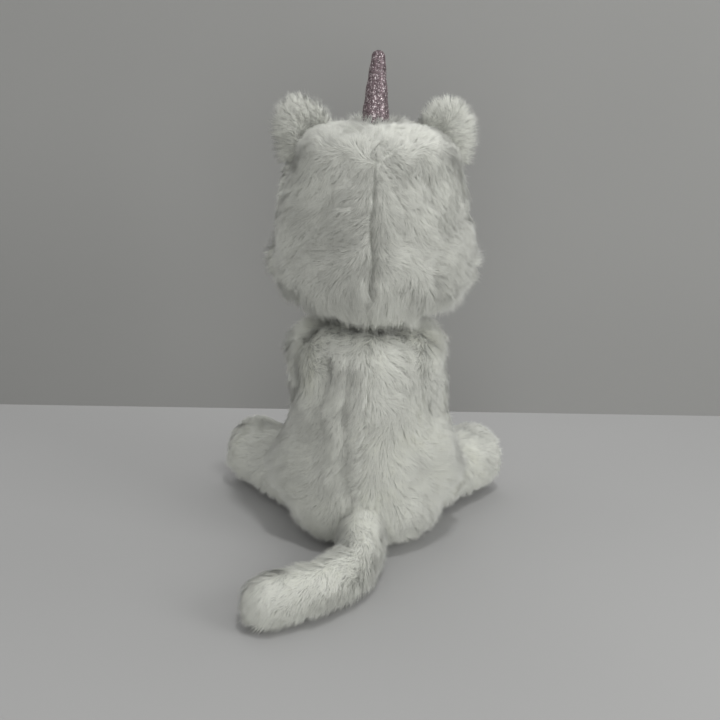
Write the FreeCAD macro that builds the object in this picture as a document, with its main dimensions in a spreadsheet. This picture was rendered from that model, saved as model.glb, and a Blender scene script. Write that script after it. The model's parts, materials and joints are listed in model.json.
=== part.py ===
import FreeCAD, Part

import math
import os

import Sketcher
from FreeCAD import Placement, Rotation, Vector

# Sitting plush unicorn with a cat-like body: long-pile fur panels over stuffed forms.
# Frame: the toy sits on z = 0 and faces -Y, its own left is +X, and the origin is the
# centre of the flat seat. Every fur panel is a shell as thick as its backing and pile.

os.makedirs("parts", exist_ok=True)
doc = FreeCAD.newDocument("PlushUnicorn")

# Driving dimensions in millimetres: alias, value, what it is.
DIMENSIONS = [
    ("pile_wall", 9.0, "backing and pile of the long fur on torso and head"),
    ("limb_wall", 7.0, "backing and pile of the fur on the limbs and tail"),
    ("fill_gap", 0.2, "gap between a skin and its stuffing"),
    ("joint_gap", 0.4, "gap between pieces that move past each other"),
    ("base_flat", 0.035, "share of a form's lower half that is trimmed flat"),
    ("crown_flat", 0.01, "share of a form's upper half that is trimmed flat"),
    ("torso_radius", 55.0, "widest radius of the torso"),
    ("torso_middle", 45.0, "height of its widest ring"),
    ("torso_top", 148.5, "height of the shoulders' flat top"),
    ("torso_low_power", 3.2, "fullness of the torso's lower half"),
    ("torso_high_power", 6.0, "fullness of the torso's upper half"),
    ("seat_radius", 32.0, "radius of the sewn-in seat panel"),
    ("belly_line", -18.0, "y of the side seams between belly and back"),
    ("valley_turn", 29.5, "turn of the back's long valley from straight behind, in degrees"),
    ("valley_height", 100.0, "height of the valley's middle"),
    ("valley_stand", 5.0, "how far the valley's centre stands off the torso"),
    ("valley_depth", 9.0, "reach of the valley in from its centre"),
    ("valley_width", 10.0, "half width of the valley at its centre"),
    ("valley_length", 44.0, "half length of the valley"),
    ("pouch_radius", 23.0, "radius of the pellet pouch"),
    ("pouch_half_height", 12.0, "half height of the pellet pouch"),
    ("pouch_height", 24.0, "height of the pouch's centre"),
    ("pouch_back", 3.0, "y of the pouch's centre"),
    ("pouch_wall", 1.0, "thickness of the pouch's cloth"),
    ("neck_axis", -4.0, "y of the neck and head axis"),
    ("neck_height", 154.0, "height of the neck's pivot"),
    ("neck_radius", 24.0, "radius of the stuffed throat"),
    ("head_radius", 62.0, "widest radius of the head"),
    ("head_bottom", 159.0, "height of the head's underside"),
    ("head_middle", 207.0, "height of its widest ring"),
    ("head_top", 278.5, "height of the crown"),
    ("head_low_power", 3.2, "fullness of the head's lower half"),
    ("head_high_power", 2.9, "fullness of the head's upper half"),
    ("face_line", -16.0, "y of the seam between face and back of the head"),
    ("seam_height", 192.0, "height of the middle of the groove along the head's back seam"),
    ("seam_lean", 10.0, "lean of that groove with the head's lower half, in degrees"),
    ("seam_stand", 4.0, "how far the groove's centre stands off the head"),
    ("seam_depth", 7.0, "reach of the groove in from its centre"),
    ("seam_width", 4.5, "half width of the groove at its centre"),
    ("seam_length", 26.0, "half length of the groove"),
    ("cheek_out", 53.0, "distance of a cheek tuft's centre from the middle"),
    ("cheek_front", -16.0, "y of a cheek tuft's centre"),
    ("cheek_height", 192.0, "height of a cheek tuft's centre"),
    ("cheek_width", 17.5, "half width of a cheek tuft"),
    ("cheek_rise", 20.5, "half height of a cheek tuft"),
    ("muzzle_front", -56.0, "y of the muzzle's centre"),
    ("muzzle_height", 187.0, "height of the muzzle's centre"),
    ("muzzle_width", 24.0, "half width of the muzzle"),
    ("muzzle_depth", 18.0, "half depth of the muzzle"),
    ("muzzle_rise", 16.0, "half height of the muzzle"),
    ("nose_height", 193.0, "height of the nose"),
    ("nose_width", 5.5, "half width of the nose"),
    ("nose_rise", 3.6, "half height of the nose"),
    ("nose_depth", 2.75, "half depth of the nose"),
    ("nose_sink", 1.5, "how far the nose's centre lies inside the muzzle"),
    ("mouth_radius", 4.0, "radius of each stitched mouth curve"),
    ("mouth_height", 186.5, "height of the mouth curves' ends"),
    ("thread_radius", 1.0, "radius of the mouth's embroidery"),
    ("thread_sink", 0.4, "how far the embroidery's middle lies inside the muzzle"),
    ("eye_angle", 24.0, "angle of an eye from straight ahead"),
    ("eye_reach", 59.0, "distance of an eye's base from the head axis"),
    ("eye_height", 211.0, "height of the eyes"),
    ("eye_radius", 8.0, "radius of an eye's dome"),
    ("eye_dome", 5.0, "height of an eye's dome"),
    ("shank_radius", 2.4, "radius of an eye's shank"),
    ("shank_length", 11.0, "length of an eye's shank"),
    ("washer_depth", 8.3, "depth of the locking washer behind an eye's base"),
    ("washer_wall", 1.5, "thickness of the locking washer"),
    ("ear_out", 42.8, "distance of an ear's fold line from the middle"),
    ("ear_front", -8.0, "y of an ear's fold line"),
    ("ear_height", 264.0, "height of an ear's fold line"),
    ("ear_tilt", 18.0, "outward lean of an ear"),
    ("ear_width", 19.0, "half width of an ear"),
    ("ear_depth", 10.5, "half thickness of an ear"),
    ("ear_rise", 30.5, "height of an ear above its fold line"),
    ("ear_root", 7.0, "radius of the roll that an ear folds on"),
    ("ear_root_length", 26.0, "length of that roll"),
    ("ear_relief", 3.0, "gap under an ear beside its roll"),
    ("ear_cup_width", 14.0, "half width of the hollow in an ear's front"),
    ("ear_cup_depth", 7.0, "depth of that hollow"),
    ("ear_cup_rise", 19.0, "half height of that hollow"),
    ("ear_cup_height", 7.0, "height of the hollow's centre over the fold line"),
    ("ear_lining_wall", 1.6, "thickness of the short-pile ear lining"),
    ("horn_front", -8.0, "y of the horn's axis"),
    ("horn_height", 270.0, "height of the horn's root centre"),
    ("horn_root_radius", 10.2, "radius of the horn at its root"),
    ("horn_end_radius", 4.4, "radius of the horn near its tip"),
    ("horn_end_round", 4.2, "rounding of the horn's tip"),
    ("horn_reach", 52.0, "length of the horn from its root centre"),
    ("horn_wall", 1.2, "thickness of the horn's glitter cloth"),
    ("horn_spread", 12.0, "flare of the room round the horn's root, in degrees"),
    ("arm_root_x", 27.0, "shoulder, sideways"),
    ("arm_root_y", -44.0, "shoulder, fore and aft"),
    ("arm_root_z", 106.0, "shoulder, height"),
    ("arm_paw_x", 19.0, "front paw, sideways"),
    ("arm_paw_y", -72.0, "front paw, fore and aft"),
    ("arm_paw_z", 18.0, "front paw, height"),
    ("arm_root_radius", 15.0, "radius of a foreleg at the shoulder"),
    ("arm_end_radius", 17.0, "radius of a front paw"),
    ("arm_end_round", 15.0, "rounding of a front paw"),
    ("arm_reach", 107.5, "length of a foreleg from its root centre"),
    ("arm_lift_room", 8.0, "how far the torso is hollowed ahead of a foreleg, so it can lift"),
    ("arm_lift_gap", 2.2, "gap round a foreleg in that hollow"),
    ("leg_root_x", 43.0, "hip, sideways"),
    ("leg_root_y", -27.0, "hip, fore and aft"),
    ("leg_height", 26.5, "height of a hind leg's axis"),
    ("leg_angle", 47.0, "turn of a hind leg forward from straight sideways"),
    ("leg_root_radius", 26.0, "radius of a hind leg at the hip"),
    ("leg_end_radius", 25.0, "radius of a hind foot"),
    ("leg_end_round", 14.0, "rounding of a hind foot"),
    ("leg_reach", 74.0, "length of a hind leg from its root centre"),
    ("leg_spread", 19.0, "flare of the room round a hind leg's root, in degrees"),
    ("sole_wall", 1.0, "thickness of a sole patch"),
    ("tail_radius", 15.2, "radius of the tail"),
    ("tail_root_y", 46.0, "tail root, fore and aft"),
    ("tail_root_z", 25.5, "tail root, height"),
    ("tail_rest_z", 15.8, "height of the tail's axis where it lies"),
    ("tail_spread", 25.0, "flare of the room round the tail's root, in degrees"),
]

sheet = doc.addObject("Spreadsheet::Sheet", "Sizes")
for row, (alias, value, meaning) in enumerate(DIMENSIONS, start=1):
    sheet.set(f"A{row}", meaning)
    sheet.set(f"B{row}", str(value))
    sheet.setAlias(f"B{row}", alias)
doc.recompute()

SIDES = {"left": 1, "right": -1}
PROFILE_STEPS = 7
TAIL_BENDS = [(1, 70), (9, 97), (31, 118), (54, 129)]
BEND_SHARE = 0.45


def size(alias):
    """Return one driving dimension as a number."""
    return float(sheet.get(alias))


def bound(kind, name, **rules):
    """Add an object and bind each named property to an expression on the sheet."""
    item = doc.addObject(kind, name)
    for prop, rule in rules.items():
        item.setExpression(prop, str(rule))
    return item


def place(item, at, rotation=Rotation()):
    """Give an object its place, with each coordinate bound to the sheet."""
    item.Placement = Placement(Vector(0, 0, 0), rotation)
    for letter, rule in zip("xyz", at):
        item.setExpression(f"Placement.Base.{letter}", str(rule))
    return item


def cut(name, base, tool):
    """Subtract one object from another."""
    item = doc.addObject("Part::Cut", name)
    item.Base = base
    item.Tool = tool
    return item


def common(name, base, tool):
    """Keep what two objects share."""
    item = doc.addObject("Part::Common", name)
    item.Base = base
    item.Tool = tool
    return item


def fuse(name, items):
    """Join several objects into one."""
    item = doc.addObject("Part::MultiFuse", name)
    item.Shapes = items
    return item


def box(name, x, y, z):
    """Add a box that spans the three (low, high) pairs, each a number or a sheet rule."""
    item = bound(
        "Part::Box",
        name,
        Length=f"({x[1]}) - ({x[0]})",
        Width=f"({y[1]}) - ({y[0]})",
        Height=f"({z[1]}) - ({z[0]})",
    )
    return place(item, (x[0], y[0], z[0]))


def groove(name, part, at, rotation):
    """Add the long ellipsoid that presses a seam's groove into a stuffed form."""
    item = bound(
        "Part::Ellipsoid",
        name,
        Radius1=f"Sizes.{part}_length",
        Radius2=f"Sizes.{part}_width",
        Radius3=f"Sizes.{part}_depth",
    )
    return place(item, at, rotation)


def round_form(name, part, bottom, inset=0.0, axis_y=0.0):
    """Turn a superellipse about a vertical axis: the full, flat-based form of a stuffed part.

    Its two halves have their own fullness, which no primitive or arc profile gives."""
    radius = size(f"{part}_radius") - inset
    middle = size(f"{part}_middle")
    halves = [
        (-1, middle - bottom - inset, size(f"{part}_low_power"), size("base_flat")),
        (1, size(f"{part}_top") - inset - middle, size(f"{part}_high_power"), size("crown_flat")),
    ]
    points = []
    for sign, half, power, flat in halves:
        last_angle = math.asin(1 - flat)
        for step in range(PROFILE_STEPS + 1):
            rise = math.sin(last_angle * step / PROFILE_STEPS)
            ring = radius * (1 - rise**power) ** (1 / power)
            points.append(Vector(ring, 0, middle + sign * half * rise / (1 - flat)))
    lower = points[PROFILE_STEPS:0:-1]
    upper = points[PROFILE_STEPS + 1:]
    outline = lower + upper
    curve = Part.BSplineCurve()
    curve.interpolate(outline)
    foot = Vector(0, 0, outline[0].z)
    crown = Vector(0, 0, outline[-1].z)
    edges = [
        Part.makeLine(foot, outline[0]),
        curve.toShape(),
        Part.makeLine(outline[-1], crown),
        Part.makeLine(crown, foot),
    ]
    face = Part.Face(Part.Wire(edges))
    item = doc.addObject("Part::Feature", name)
    item.Shape = face.revolve(Vector(0, 0, 0), Vector(0, 0, 1), 360)
    item.Placement = Placement(Vector(0, axis_y, 0), Rotation())
    return item


def turned_limb(name, limb, inset):
    """Revolve a limb's profile about its own axis: round root at the pivot, rounded end.

    inset is a sheet rule: how far this surface lies inside the fur's outline."""
    body = doc.addObject("PartDesign::Body", name)
    plane = [p for p in body.Origin.OriginFeatures if p.Role == "XZ_Plane"][0]
    sketch = body.newObject("Sketcher::SketchObject", name + "_profile")
    sketch.AttachmentSupport = [(plane, "")]
    sketch.MapMode = "FlatFace"
    root = size(f"{limb}_root_radius")
    end = size(f"{limb}_end_radius")
    bend = size(f"{limb}_end_round")
    reach = size(f"{limb}_reach")
    quarter = math.pi / 2
    root_circle = Part.Circle(Vector(0, 0, 0), Vector(0, 0, 1), root)
    end_circle = Part.Circle(Vector(end - bend, reach - bend, 0), Vector(0, 0, 1), bend)
    root_arc = sketch.addGeometry(Part.ArcOfCircle(root_circle, -quarter, 0))
    side = sketch.addGeometry(Part.LineSegment(Vector(root, 0, 0), Vector(end, reach - bend, 0)))
    end_arc = sketch.addGeometry(Part.ArcOfCircle(end_circle, 0, quarter))
    cap = sketch.addGeometry(Part.LineSegment(Vector(end - bend, reach, 0), Vector(0, reach, 0)))
    axis = sketch.addGeometry(Part.LineSegment(Vector(0, reach, 0), Vector(0, -root, 0)))
    start, finish, centre = 1, 2, 3
    horizontal_axis, vertical_axis = -1, -2
    for rule in [
        ("Coincident", root_arc, centre, horizontal_axis, start),
        ("PointOnObject", root_arc, start, vertical_axis),
        ("PointOnObject", root_arc, finish, horizontal_axis),
        ("Coincident", root_arc, finish, side, start),
        ("Coincident", side, finish, end_arc, start),
        ("Coincident", end_arc, finish, cap, start),
        ("Coincident", cap, finish, axis, start),
        ("Coincident", axis, finish, root_arc, start),
        ("Horizontal", end_arc, start, end_arc, centre),
        ("Vertical", end_arc, finish, end_arc, centre),
        ("Horizontal", cap),
        ("Vertical", axis),
    ]:
        sketch.addConstraint(Sketcher.Constraint(*rule))
    for label, rule, formula in [
        ("root_radius", ("Radius", root_arc, root), f"Sizes.{limb}_root_radius - ({inset})"),
        ("end_round", ("Radius", end_arc, bend), f"Sizes.{limb}_end_round - ({inset})"),
        (
            "end_radius",
            ("DistanceX", horizontal_axis, start, side, finish, end),
            f"Sizes.{limb}_end_radius - ({inset})",
        ),
        (
            "reach",
            ("DistanceY", horizontal_axis, start, cap, finish, reach),
            f"Sizes.{limb}_reach - ({inset})",
        ),
    ]:
        number = sketch.addConstraint(Sketcher.Constraint(*rule))
        sketch.renameConstraint(number, label)
        sketch.setExpression(f"Constraints.{label}", formula)
    turn = body.newObject("PartDesign::Revolution", name + "_turned")
    turn.Profile = sketch
    turn.ReferenceAxis = (sketch, ["V_Axis"])
    turn.Angle = 360
    return body


def funnel(name, radius, length, spread, at, rotation):
    """Build the flared room of a limb's root: a half ball, then a cone as wide as its swing."""
    wide = f"{radius} / cos({spread} * 1 deg) + Sizes.joint_gap"
    ball = bound("Part::Sphere", name + "_ball", Radius=wide, Angle1=-90, Angle2=0)
    cone = bound(
        "Part::Cone",
        name + "_cone",
        Radius1=wide,
        Radius2=f"{wide} + {length} * tan({spread} * 1 deg)",
        Height=length,
    )
    return fuse(name, [place(ball, at, rotation), place(cone, at, rotation)])


def stuffed_limb(label, limb, at, rotation, wall="Sizes.limb_wall"):
    """Build one limb's skin and its stuffing."""
    outer = place(turned_limb(label + "_outline", limb, "0"), at, rotation)
    hollow = place(turned_limb(label + "_hollow", limb, wall), at, rotation)
    filling = turned_limb(label + "_filling", limb, f"{wall} + Sizes.fill_gap")
    return cut(label + "_skin_shell", outer, hollow), place(filling, at, rotation)


nodes = {}

# --- Hind legs: splayed outward and forward, flat on the surface, a sole patch at the end ---
leg_rooms = []
for side_name, side in SIDES.items():
    turn = math.radians(size("leg_angle"))
    along = Vector(side * math.cos(turn), -math.sin(turn), 0)
    facing = Rotation(Vector(0, 0, 1), along)
    hip = (f"{side} * Sizes.leg_root_x", "Sizes.leg_root_y", "Sizes.leg_height")
    skin, filling = stuffed_limb(f"leg_{side_name}", "leg", hip, facing)
    room = funnel(
        f"leg_room_{side_name}",
        "Sizes.leg_root_radius",
        "Sizes.leg_root_radius",
        "Sizes.leg_spread",
        hip,
        facing,
    )
    sole = bound(
        "Part::Cylinder",
        f"sole_{side_name}",
        Radius="Sizes.leg_end_radius - Sizes.leg_end_round",
        Height="Sizes.sole_wall",
    )
    end = [
        f"{hip[0]} + {side} * Sizes.leg_reach * cos(Sizes.leg_angle * 1 deg)",
        f"{hip[1]} - Sizes.leg_reach * sin(Sizes.leg_angle * 1 deg)",
        hip[2],
    ]
    place(sole, end, facing)
    nodes[f"hind_leg_skin_{side_name}"] = skin
    nodes[f"hind_leg_stuffing_{side_name}"] = filling
    nodes[f"hind_sole_patch_{side_name}"] = sole
    leg_rooms.append(room)

# --- Forelegs: from the shoulders down to the surface between the hind legs ---
arm_rooms = []
for side_name, side in SIDES.items():
    shoulder = Vector(side * size("arm_root_x"), size("arm_root_y"), size("arm_root_z"))
    paw = Vector(side * size("arm_paw_x"), size("arm_paw_y"), size("arm_paw_z"))
    facing = Rotation(Vector(0, 0, 1), paw - shoulder)
    at = (f"{side} * Sizes.arm_root_x", "Sizes.arm_root_y", "Sizes.arm_root_z")
    skin, filling = stuffed_limb(f"arm_{side_name}", "arm", at, facing)
    nodes[f"foreleg_skin_{side_name}"] = skin
    nodes[f"foreleg_stuffing_{side_name}"] = filling
    rest_room = turned_limb(f"arm_rest_room_{side_name}", "arm", "-Sizes.joint_gap")
    lift_room = turned_limb(f"arm_lift_room_{side_name}", "arm", "-Sizes.arm_lift_gap")
    ahead = (at[0], f"{at[1]} - Sizes.arm_lift_room", at[2])
    arm_rooms += [place(rest_room, at, facing), place(lift_room, ahead, facing)]


# --- Tail: a thick tube that leaves the lower back and curls to the toy's left ---
def tail_form(name, inset):
    """Sweep a circle along straight runs joined by tangent arcs, with two round ends."""
    radius = size("tail_radius") - inset
    corners = [Vector(0, size("tail_root_y"), size("tail_root_z"))]
    corners += [Vector(x, y, size("tail_rest_z")) for x, y in TAIL_BENDS]
    edges = []
    at = corners[0]
    for before, corner, after in zip(corners, corners[1:], corners[2:]):
        trim = BEND_SHARE * min((corner - before).Length, (after - corner).Length)
        into = (before - corner).normalize()
        out = (after - corner).normalize()
        arc_start = corner + into * trim
        arc_end = corner + out * trim
        half_turn = (math.pi - into.getAngle(out)) / 2
        bend_radius = trim / math.tan(half_turn)
        inward = (into + out).normalize()
        bend_depth = bend_radius * (1 / math.cos(half_turn) - 1)
        edges.append(Part.makeLine(at, arc_start))
        edges.append(Part.Arc(arc_start, corner + inward * bend_depth, arc_end).toShape())
        at = arc_end
    edges.append(Part.makeLine(at, corners[-1]))
    path = Part.Wire(edges)
    heading = (corners[1] - corners[0]).normalize()
    ring = Part.Wire([Part.makeCircle(radius, corners[0], heading)])
    tube = path.makePipeShell([ring], True, False, 1)
    tip_heading = (corners[-1] - corners[-2]).normalize()
    root_end = Part.makeSphere(radius, corners[0], heading * -1, 0, 90, 360)
    tip_end = Part.makeSphere(radius, corners[-1], tip_heading, 0, 90, 360)
    item = doc.addObject("Part::Feature", name)
    item.Shape = tube.multiFuse([root_end, tip_end])
    return item


tail_wall = size("limb_wall")
tail_outline = tail_form("tail_outline", 0)
tail_hollow = tail_form("tail_hollow", tail_wall)
nodes["tail_skin"] = cut("tail_skin_shell", tail_outline, tail_hollow)
nodes["tail_stuffing"] = tail_form("tail_filling", tail_wall + size("fill_gap"))
tail_rise = size("tail_rest_z") - size("tail_root_z")
tail_out, tail_back = TAIL_BENDS[0]
tail_room = funnel(
    "tail_room",
    "Sizes.tail_radius",
    "2 * Sizes.tail_radius",
    "Sizes.tail_spread",
    (0, "Sizes.tail_root_y", "Sizes.tail_root_z"),
    Rotation(Vector(0, 0, 1), Vector(tail_out, tail_back - size("tail_root_y"), tail_rise)),
)

# --- Torso: seat, belly and two back panels over a stuffing that holds a pellet pouch ---
torso_wall = size("pile_wall")
torso_outline = round_form("torso_outline", "torso", 0)
torso_hollow = round_form("torso_hollow", "torso", 0, torso_wall)
torso_filling = round_form("torso_filling", "torso", 0, torso_wall + size("fill_gap"))
limb_rooms = fuse("limb_rooms", leg_rooms + arm_rooms + [tail_room])
torso_shell = cut("torso_shell", torso_outline, torso_hollow)
torso_skin = cut("torso_skin", torso_shell, limb_rooms)

seat_disc = bound(
    "Part::Cylinder", "seat_disc", Radius="Sizes.seat_radius", Height="Sizes.pile_wall + Sizes.joint_gap"
)
side_reach = "2 * Sizes.torso_radius"
front_half = box(
    "front_half",
    (f"-{side_reach}", side_reach),
    (f"-{side_reach}", "Sizes.belly_line"),
    (0, "Sizes.torso_top"),
)
valley_reach = "(Sizes.torso_radius + Sizes.valley_stand)"
valley = groove(
    "back_valley",
    "valley",
    (
        f"{valley_reach} * sin(Sizes.valley_turn * 1 deg)",
        f"{valley_reach} * cos(Sizes.valley_turn * 1 deg)",
        "Sizes.valley_height",
    ),
    Rotation(Vector(0, 0, 1), -size("valley_turn")),
)
torso_sides = cut("torso_sides", cut("torso_sewn", torso_skin, valley), seat_disc)
nodes["seat_panel"] = common("seat_cloth", torso_skin, seat_disc)
nodes["belly_panel"] = common("belly_cloth", torso_sides, front_half)
for side_name, side in SIDES.items():
    span = (0, side_reach) if side > 0 else (f"-{side_reach}", 0)
    back_part = box(
        f"back_part_{side_name}",
        span,
        ("Sizes.belly_line", side_reach),
        (0, "Sizes.torso_top"),
    )
    nodes[f"back_panel_{side_name}"] = common(f"back_cloth_{side_name}", torso_sides, back_part)


def pouch_form(name, inset):
    """Add the flattened ball of the pellet pouch, inset by a sheet rule."""
    item = bound(
        "Part::Ellipsoid",
        name,
        Radius1=f"Sizes.pouch_half_height - ({inset})",
        Radius2=f"Sizes.pouch_radius - ({inset})",
        Radius3=f"Sizes.pouch_radius - ({inset})",
    )
    return place(item, (0, "Sizes.pouch_back", "Sizes.pouch_height"))


pouch_outline = pouch_form("pouch_outline", "0")
pouch_hollow = pouch_form("pouch_hollow", "Sizes.pouch_wall")
nodes["pellet_pouch"] = cut("pouch_cloth", pouch_outline, pouch_hollow)
nodes["pellet_filling"] = pouch_form("pellets", "Sizes.pouch_wall + Sizes.fill_gap")
filling_room = fuse("filling_room", [limb_rooms, pouch_form("pouch_room", "-Sizes.fill_gap")])
nodes["body_stuffing"] = cut("body_filling", torso_filling, filling_room)

# --- Neck: a stuffed throat that turns on the torso and lets the head nod ---
neck = bound(
    "Part::Sphere",
    "neck_ball",
    Radius="Sizes.neck_radius",
    Angle1=(
        "asin((Sizes.torso_top + Sizes.joint_gap - Sizes.neck_height) / Sizes.neck_radius)"
    ),
)
nodes["neck_throat"] = place(neck, (0, "Sizes.neck_axis", "Sizes.neck_height"))
neck_room = bound("Part::Sphere", "neck_room", Radius="Sizes.neck_radius + Sizes.joint_gap")
place(neck_room, (0, "Sizes.neck_axis", "Sizes.neck_height"))

# --- Horn: a stuffed cone of glitter cloth that flexes on the crown ---
upright = Rotation()
horn_at = (0, "Sizes.horn_front", "Sizes.horn_height")
horn_skin, horn_filling = stuffed_limb("horn", "horn", horn_at, upright, "Sizes.horn_wall")
horn_room = funnel(
    "horn_room",
    "Sizes.horn_root_radius",
    "2 * Sizes.horn_root_radius",
    "Sizes.horn_spread",
    horn_at,
    upright,
)
nodes["horn_sleeve"] = horn_skin
nodes["horn_stuffing"] = horn_filling

# --- Head form: outline, hollow and filling round the neck axis ---
head_axis = size("neck_axis")
head_bottom = size("head_bottom")
head_wall = size("pile_wall")
fill_inset = head_wall + size("fill_gap")
ear_inset = -size("ear_relief")
head_outline = round_form("head_outline", "head", head_bottom, 0, head_axis)
head_hollow = round_form("head_hollow", "head", head_bottom, head_wall, head_axis)
head_filling = round_form("head_filling", "head", head_bottom, fill_inset, head_axis)
ear_limit = round_form("ear_limit", "head", head_bottom, ear_inset, head_axis)


# --- Ears: rounded blades that fold on a roll along the crown, hollowed and lined in front ---
def build_ear(side_name, side):
    """Make one ear's fur back and its lining, and return the room of its roll."""
    lean = Rotation(Vector(0, 1, 0), side * size("ear_tilt"))
    sideways = lean.multiply(Rotation(Vector(0, 1, 0), 90))
    fold = (f"{side} * Sizes.ear_out", "Sizes.ear_front", "Sizes.ear_height")

    def roll(name, slack):
        """Add the roll that the ear folds on, enlarged by a sheet rule."""
        item = bound(
            "Part::Cylinder",
            name,
            Radius=f"Sizes.ear_root + {slack}",
            Height=f"Sizes.ear_root_length + 2 * {slack}",
        )
        start = sideways.multVec(Vector(0, 0, -size("ear_root_length") / 2))
        return place(item, [f"{rule} + ({shift})" for rule, shift in zip(fold, start)], sideways)

    def hollow(name, depth):
        """Add the ellipsoid that hollows the ear's front to a depth below its face."""
        item = bound(
            "Part::Ellipsoid",
            name,
            Radius1="Sizes.ear_cup_rise",
            Radius2="Sizes.ear_cup_width",
            Radius3=depth,
        )
        rise = lean.multVec(Vector(0, 0, size("ear_cup_height")))
        at = [
            f"{fold[0]} + ({rise.x})",
            f"{fold[1]} - Sizes.ear_depth",
            f"{fold[2]} + ({rise.z})",
        ]
        return place(item, at, lean)

    blade = bound(
        "Part::Ellipsoid",
        f"ear_blade_{side_name}",
        Radius1="Sizes.ear_rise",
        Radius2="Sizes.ear_width",
        Radius3="Sizes.ear_depth",
    )
    free_blade = cut(f"ear_free_blade_{side_name}", place(blade, fold, lean), ear_limit)
    form = fuse(f"ear_form_{side_name}", [free_blade, roll(f"ear_roll_{side_name}", "0")])
    deep = hollow(f"ear_hollow_{side_name}", "Sizes.ear_cup_depth")
    lined = hollow(f"ear_lined_{side_name}", "Sizes.ear_cup_depth - Sizes.ear_lining_wall")
    layer = cut(f"ear_lining_layer_{side_name}", deep, lined)
    nodes[f"ear_back_{side_name}"] = cut(f"ear_fur_{side_name}", form, deep)
    nodes[f"ear_lining_{side_name}"] = common(f"ear_cloth_{side_name}", layer, form)
    return roll(f"ear_room_{side_name}", "Sizes.joint_gap")


ear_rooms = [build_ear(side_name, side) for side_name, side in SIDES.items()]


# --- Eyes: glossy domes on shanks through the face, each locked by a washer inside ---
def build_eye(side_name, side):
    """Make one eye and its washer; return the rooms for them in the face and the filling."""
    turn = math.radians(size("eye_angle"))
    facing = Rotation(Vector(0, 0, 1), Vector(side * math.sin(turn), -math.cos(turn), 0))

    def on_axis(item, along):
        """Put an item on the eye's axis, at a distance outward from the eye's base."""
        reach = f"(Sizes.eye_reach + {along})"
        at = (
            f"{side} * {reach} * sin(Sizes.eye_angle * 1 deg)",
            f"Sizes.neck_axis - {reach} * cos(Sizes.eye_angle * 1 deg)",
            "Sizes.eye_height",
        )
        return place(item, at, facing)

    def rod(name, radius, start, length):
        """Add a cylinder on the eye's axis."""
        item = bound("Part::Cylinder", f"{name}_{side_name}", Radius=radius, Height=length)
        return on_axis(item, start)

    dome = bound(
        "Part::Ellipsoid",
        f"eye_dome_{side_name}",
        Radius1="Sizes.eye_dome",
        Radius2="Sizes.eye_radius",
        Radius3="Sizes.eye_radius",
        Angle1=0,
    )
    shank = rod("eye_shank", "Sizes.shank_radius", "-Sizes.shank_length", "Sizes.shank_length")
    shank_room = rod(
        "shank_room",
        "Sizes.shank_radius + Sizes.fill_gap",
        "-Sizes.shank_length - Sizes.fill_gap",
        "Sizes.shank_length + 2 * Sizes.fill_gap",
    )
    washer = rod("washer_disc", "Sizes.eye_radius", "-Sizes.washer_depth", "Sizes.washer_wall")
    wide = "Sizes.eye_radius + Sizes.fill_gap"
    washer_room = rod(
        "washer_room", wide, "-Sizes.washer_depth - Sizes.fill_gap", "Sizes.washer_depth"
    )
    eye_room = rod("eye_room", wide, "0", "Sizes.pile_wall")
    nodes[f"eye_{side_name}"] = fuse(f"eye_cap_{side_name}", [on_axis(dome, "0"), shank])
    nodes[f"eye_washer_{side_name}"] = cut(f"washer_{side_name}", washer, shank_room)
    return [eye_room, shank_room], [washer_room, shank_room]


face_tools = []
filling_tools = []
for side_name, side in SIDES.items():
    face_rooms, filling_rooms = build_eye(side_name, side)
    face_tools += face_rooms
    filling_tools += filling_rooms

# --- Head: face and two back panels over the stuffing, with cheek tufts ---
head_rooms = fuse("head_rooms", [neck_room, horn_room] + ear_rooms)
head_shell = cut("head_shell", head_outline, head_hollow)
back_seam = groove(
    "head_back_seam",
    "seam",
    (0, "Sizes.neck_axis + Sizes.head_radius + Sizes.seam_stand", "Sizes.seam_height"),
    Rotation(Vector(1, 0, 0), -size("seam_lean")),
)
head_skin = cut("head_skin", cut("head_sewn", head_shell, back_seam), head_rooms)
head_reach = "2 * Sizes.head_radius"
head_span = ("Sizes.neck_height", "Sizes.head_top + 1")
face_block = box(
    "face_block", (f"-{head_reach}", head_reach), (f"-{head_reach}", "Sizes.face_line"), head_span
)
face_cloth = common("face_cloth", head_skin, face_block)
nodes["face_panel"] = cut("face_pierced", face_cloth, fuse("face_tools", face_tools))
for side_name, side in SIDES.items():
    span = (0, head_reach) if side > 0 else (f"-{head_reach}", 0)
    block = box(f"head_part_{side_name}", span, ("Sizes.face_line", head_reach), head_span)
    nodes[f"head_back_panel_{side_name}"] = common(f"head_cloth_{side_name}", head_skin, block)
    tuft = bound(
        "Part::Ellipsoid",
        f"cheek_{side_name}",
        Radius1="Sizes.cheek_rise",
        Radius2="Sizes.cheek_width",
        Radius3="Sizes.cheek_width",
    )
    place(tuft, (f"{side} * Sizes.cheek_out", "Sizes.cheek_front", "Sizes.cheek_height"))
    nodes[f"cheek_tuft_{side_name}"] = cut(f"cheek_fur_{side_name}", tuft, head_outline)
stuffing_rooms = fuse("stuffing_rooms", [head_rooms] + filling_tools)
nodes["head_stuffing"] = cut("head_inside", head_filling, stuffing_rooms)

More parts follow.
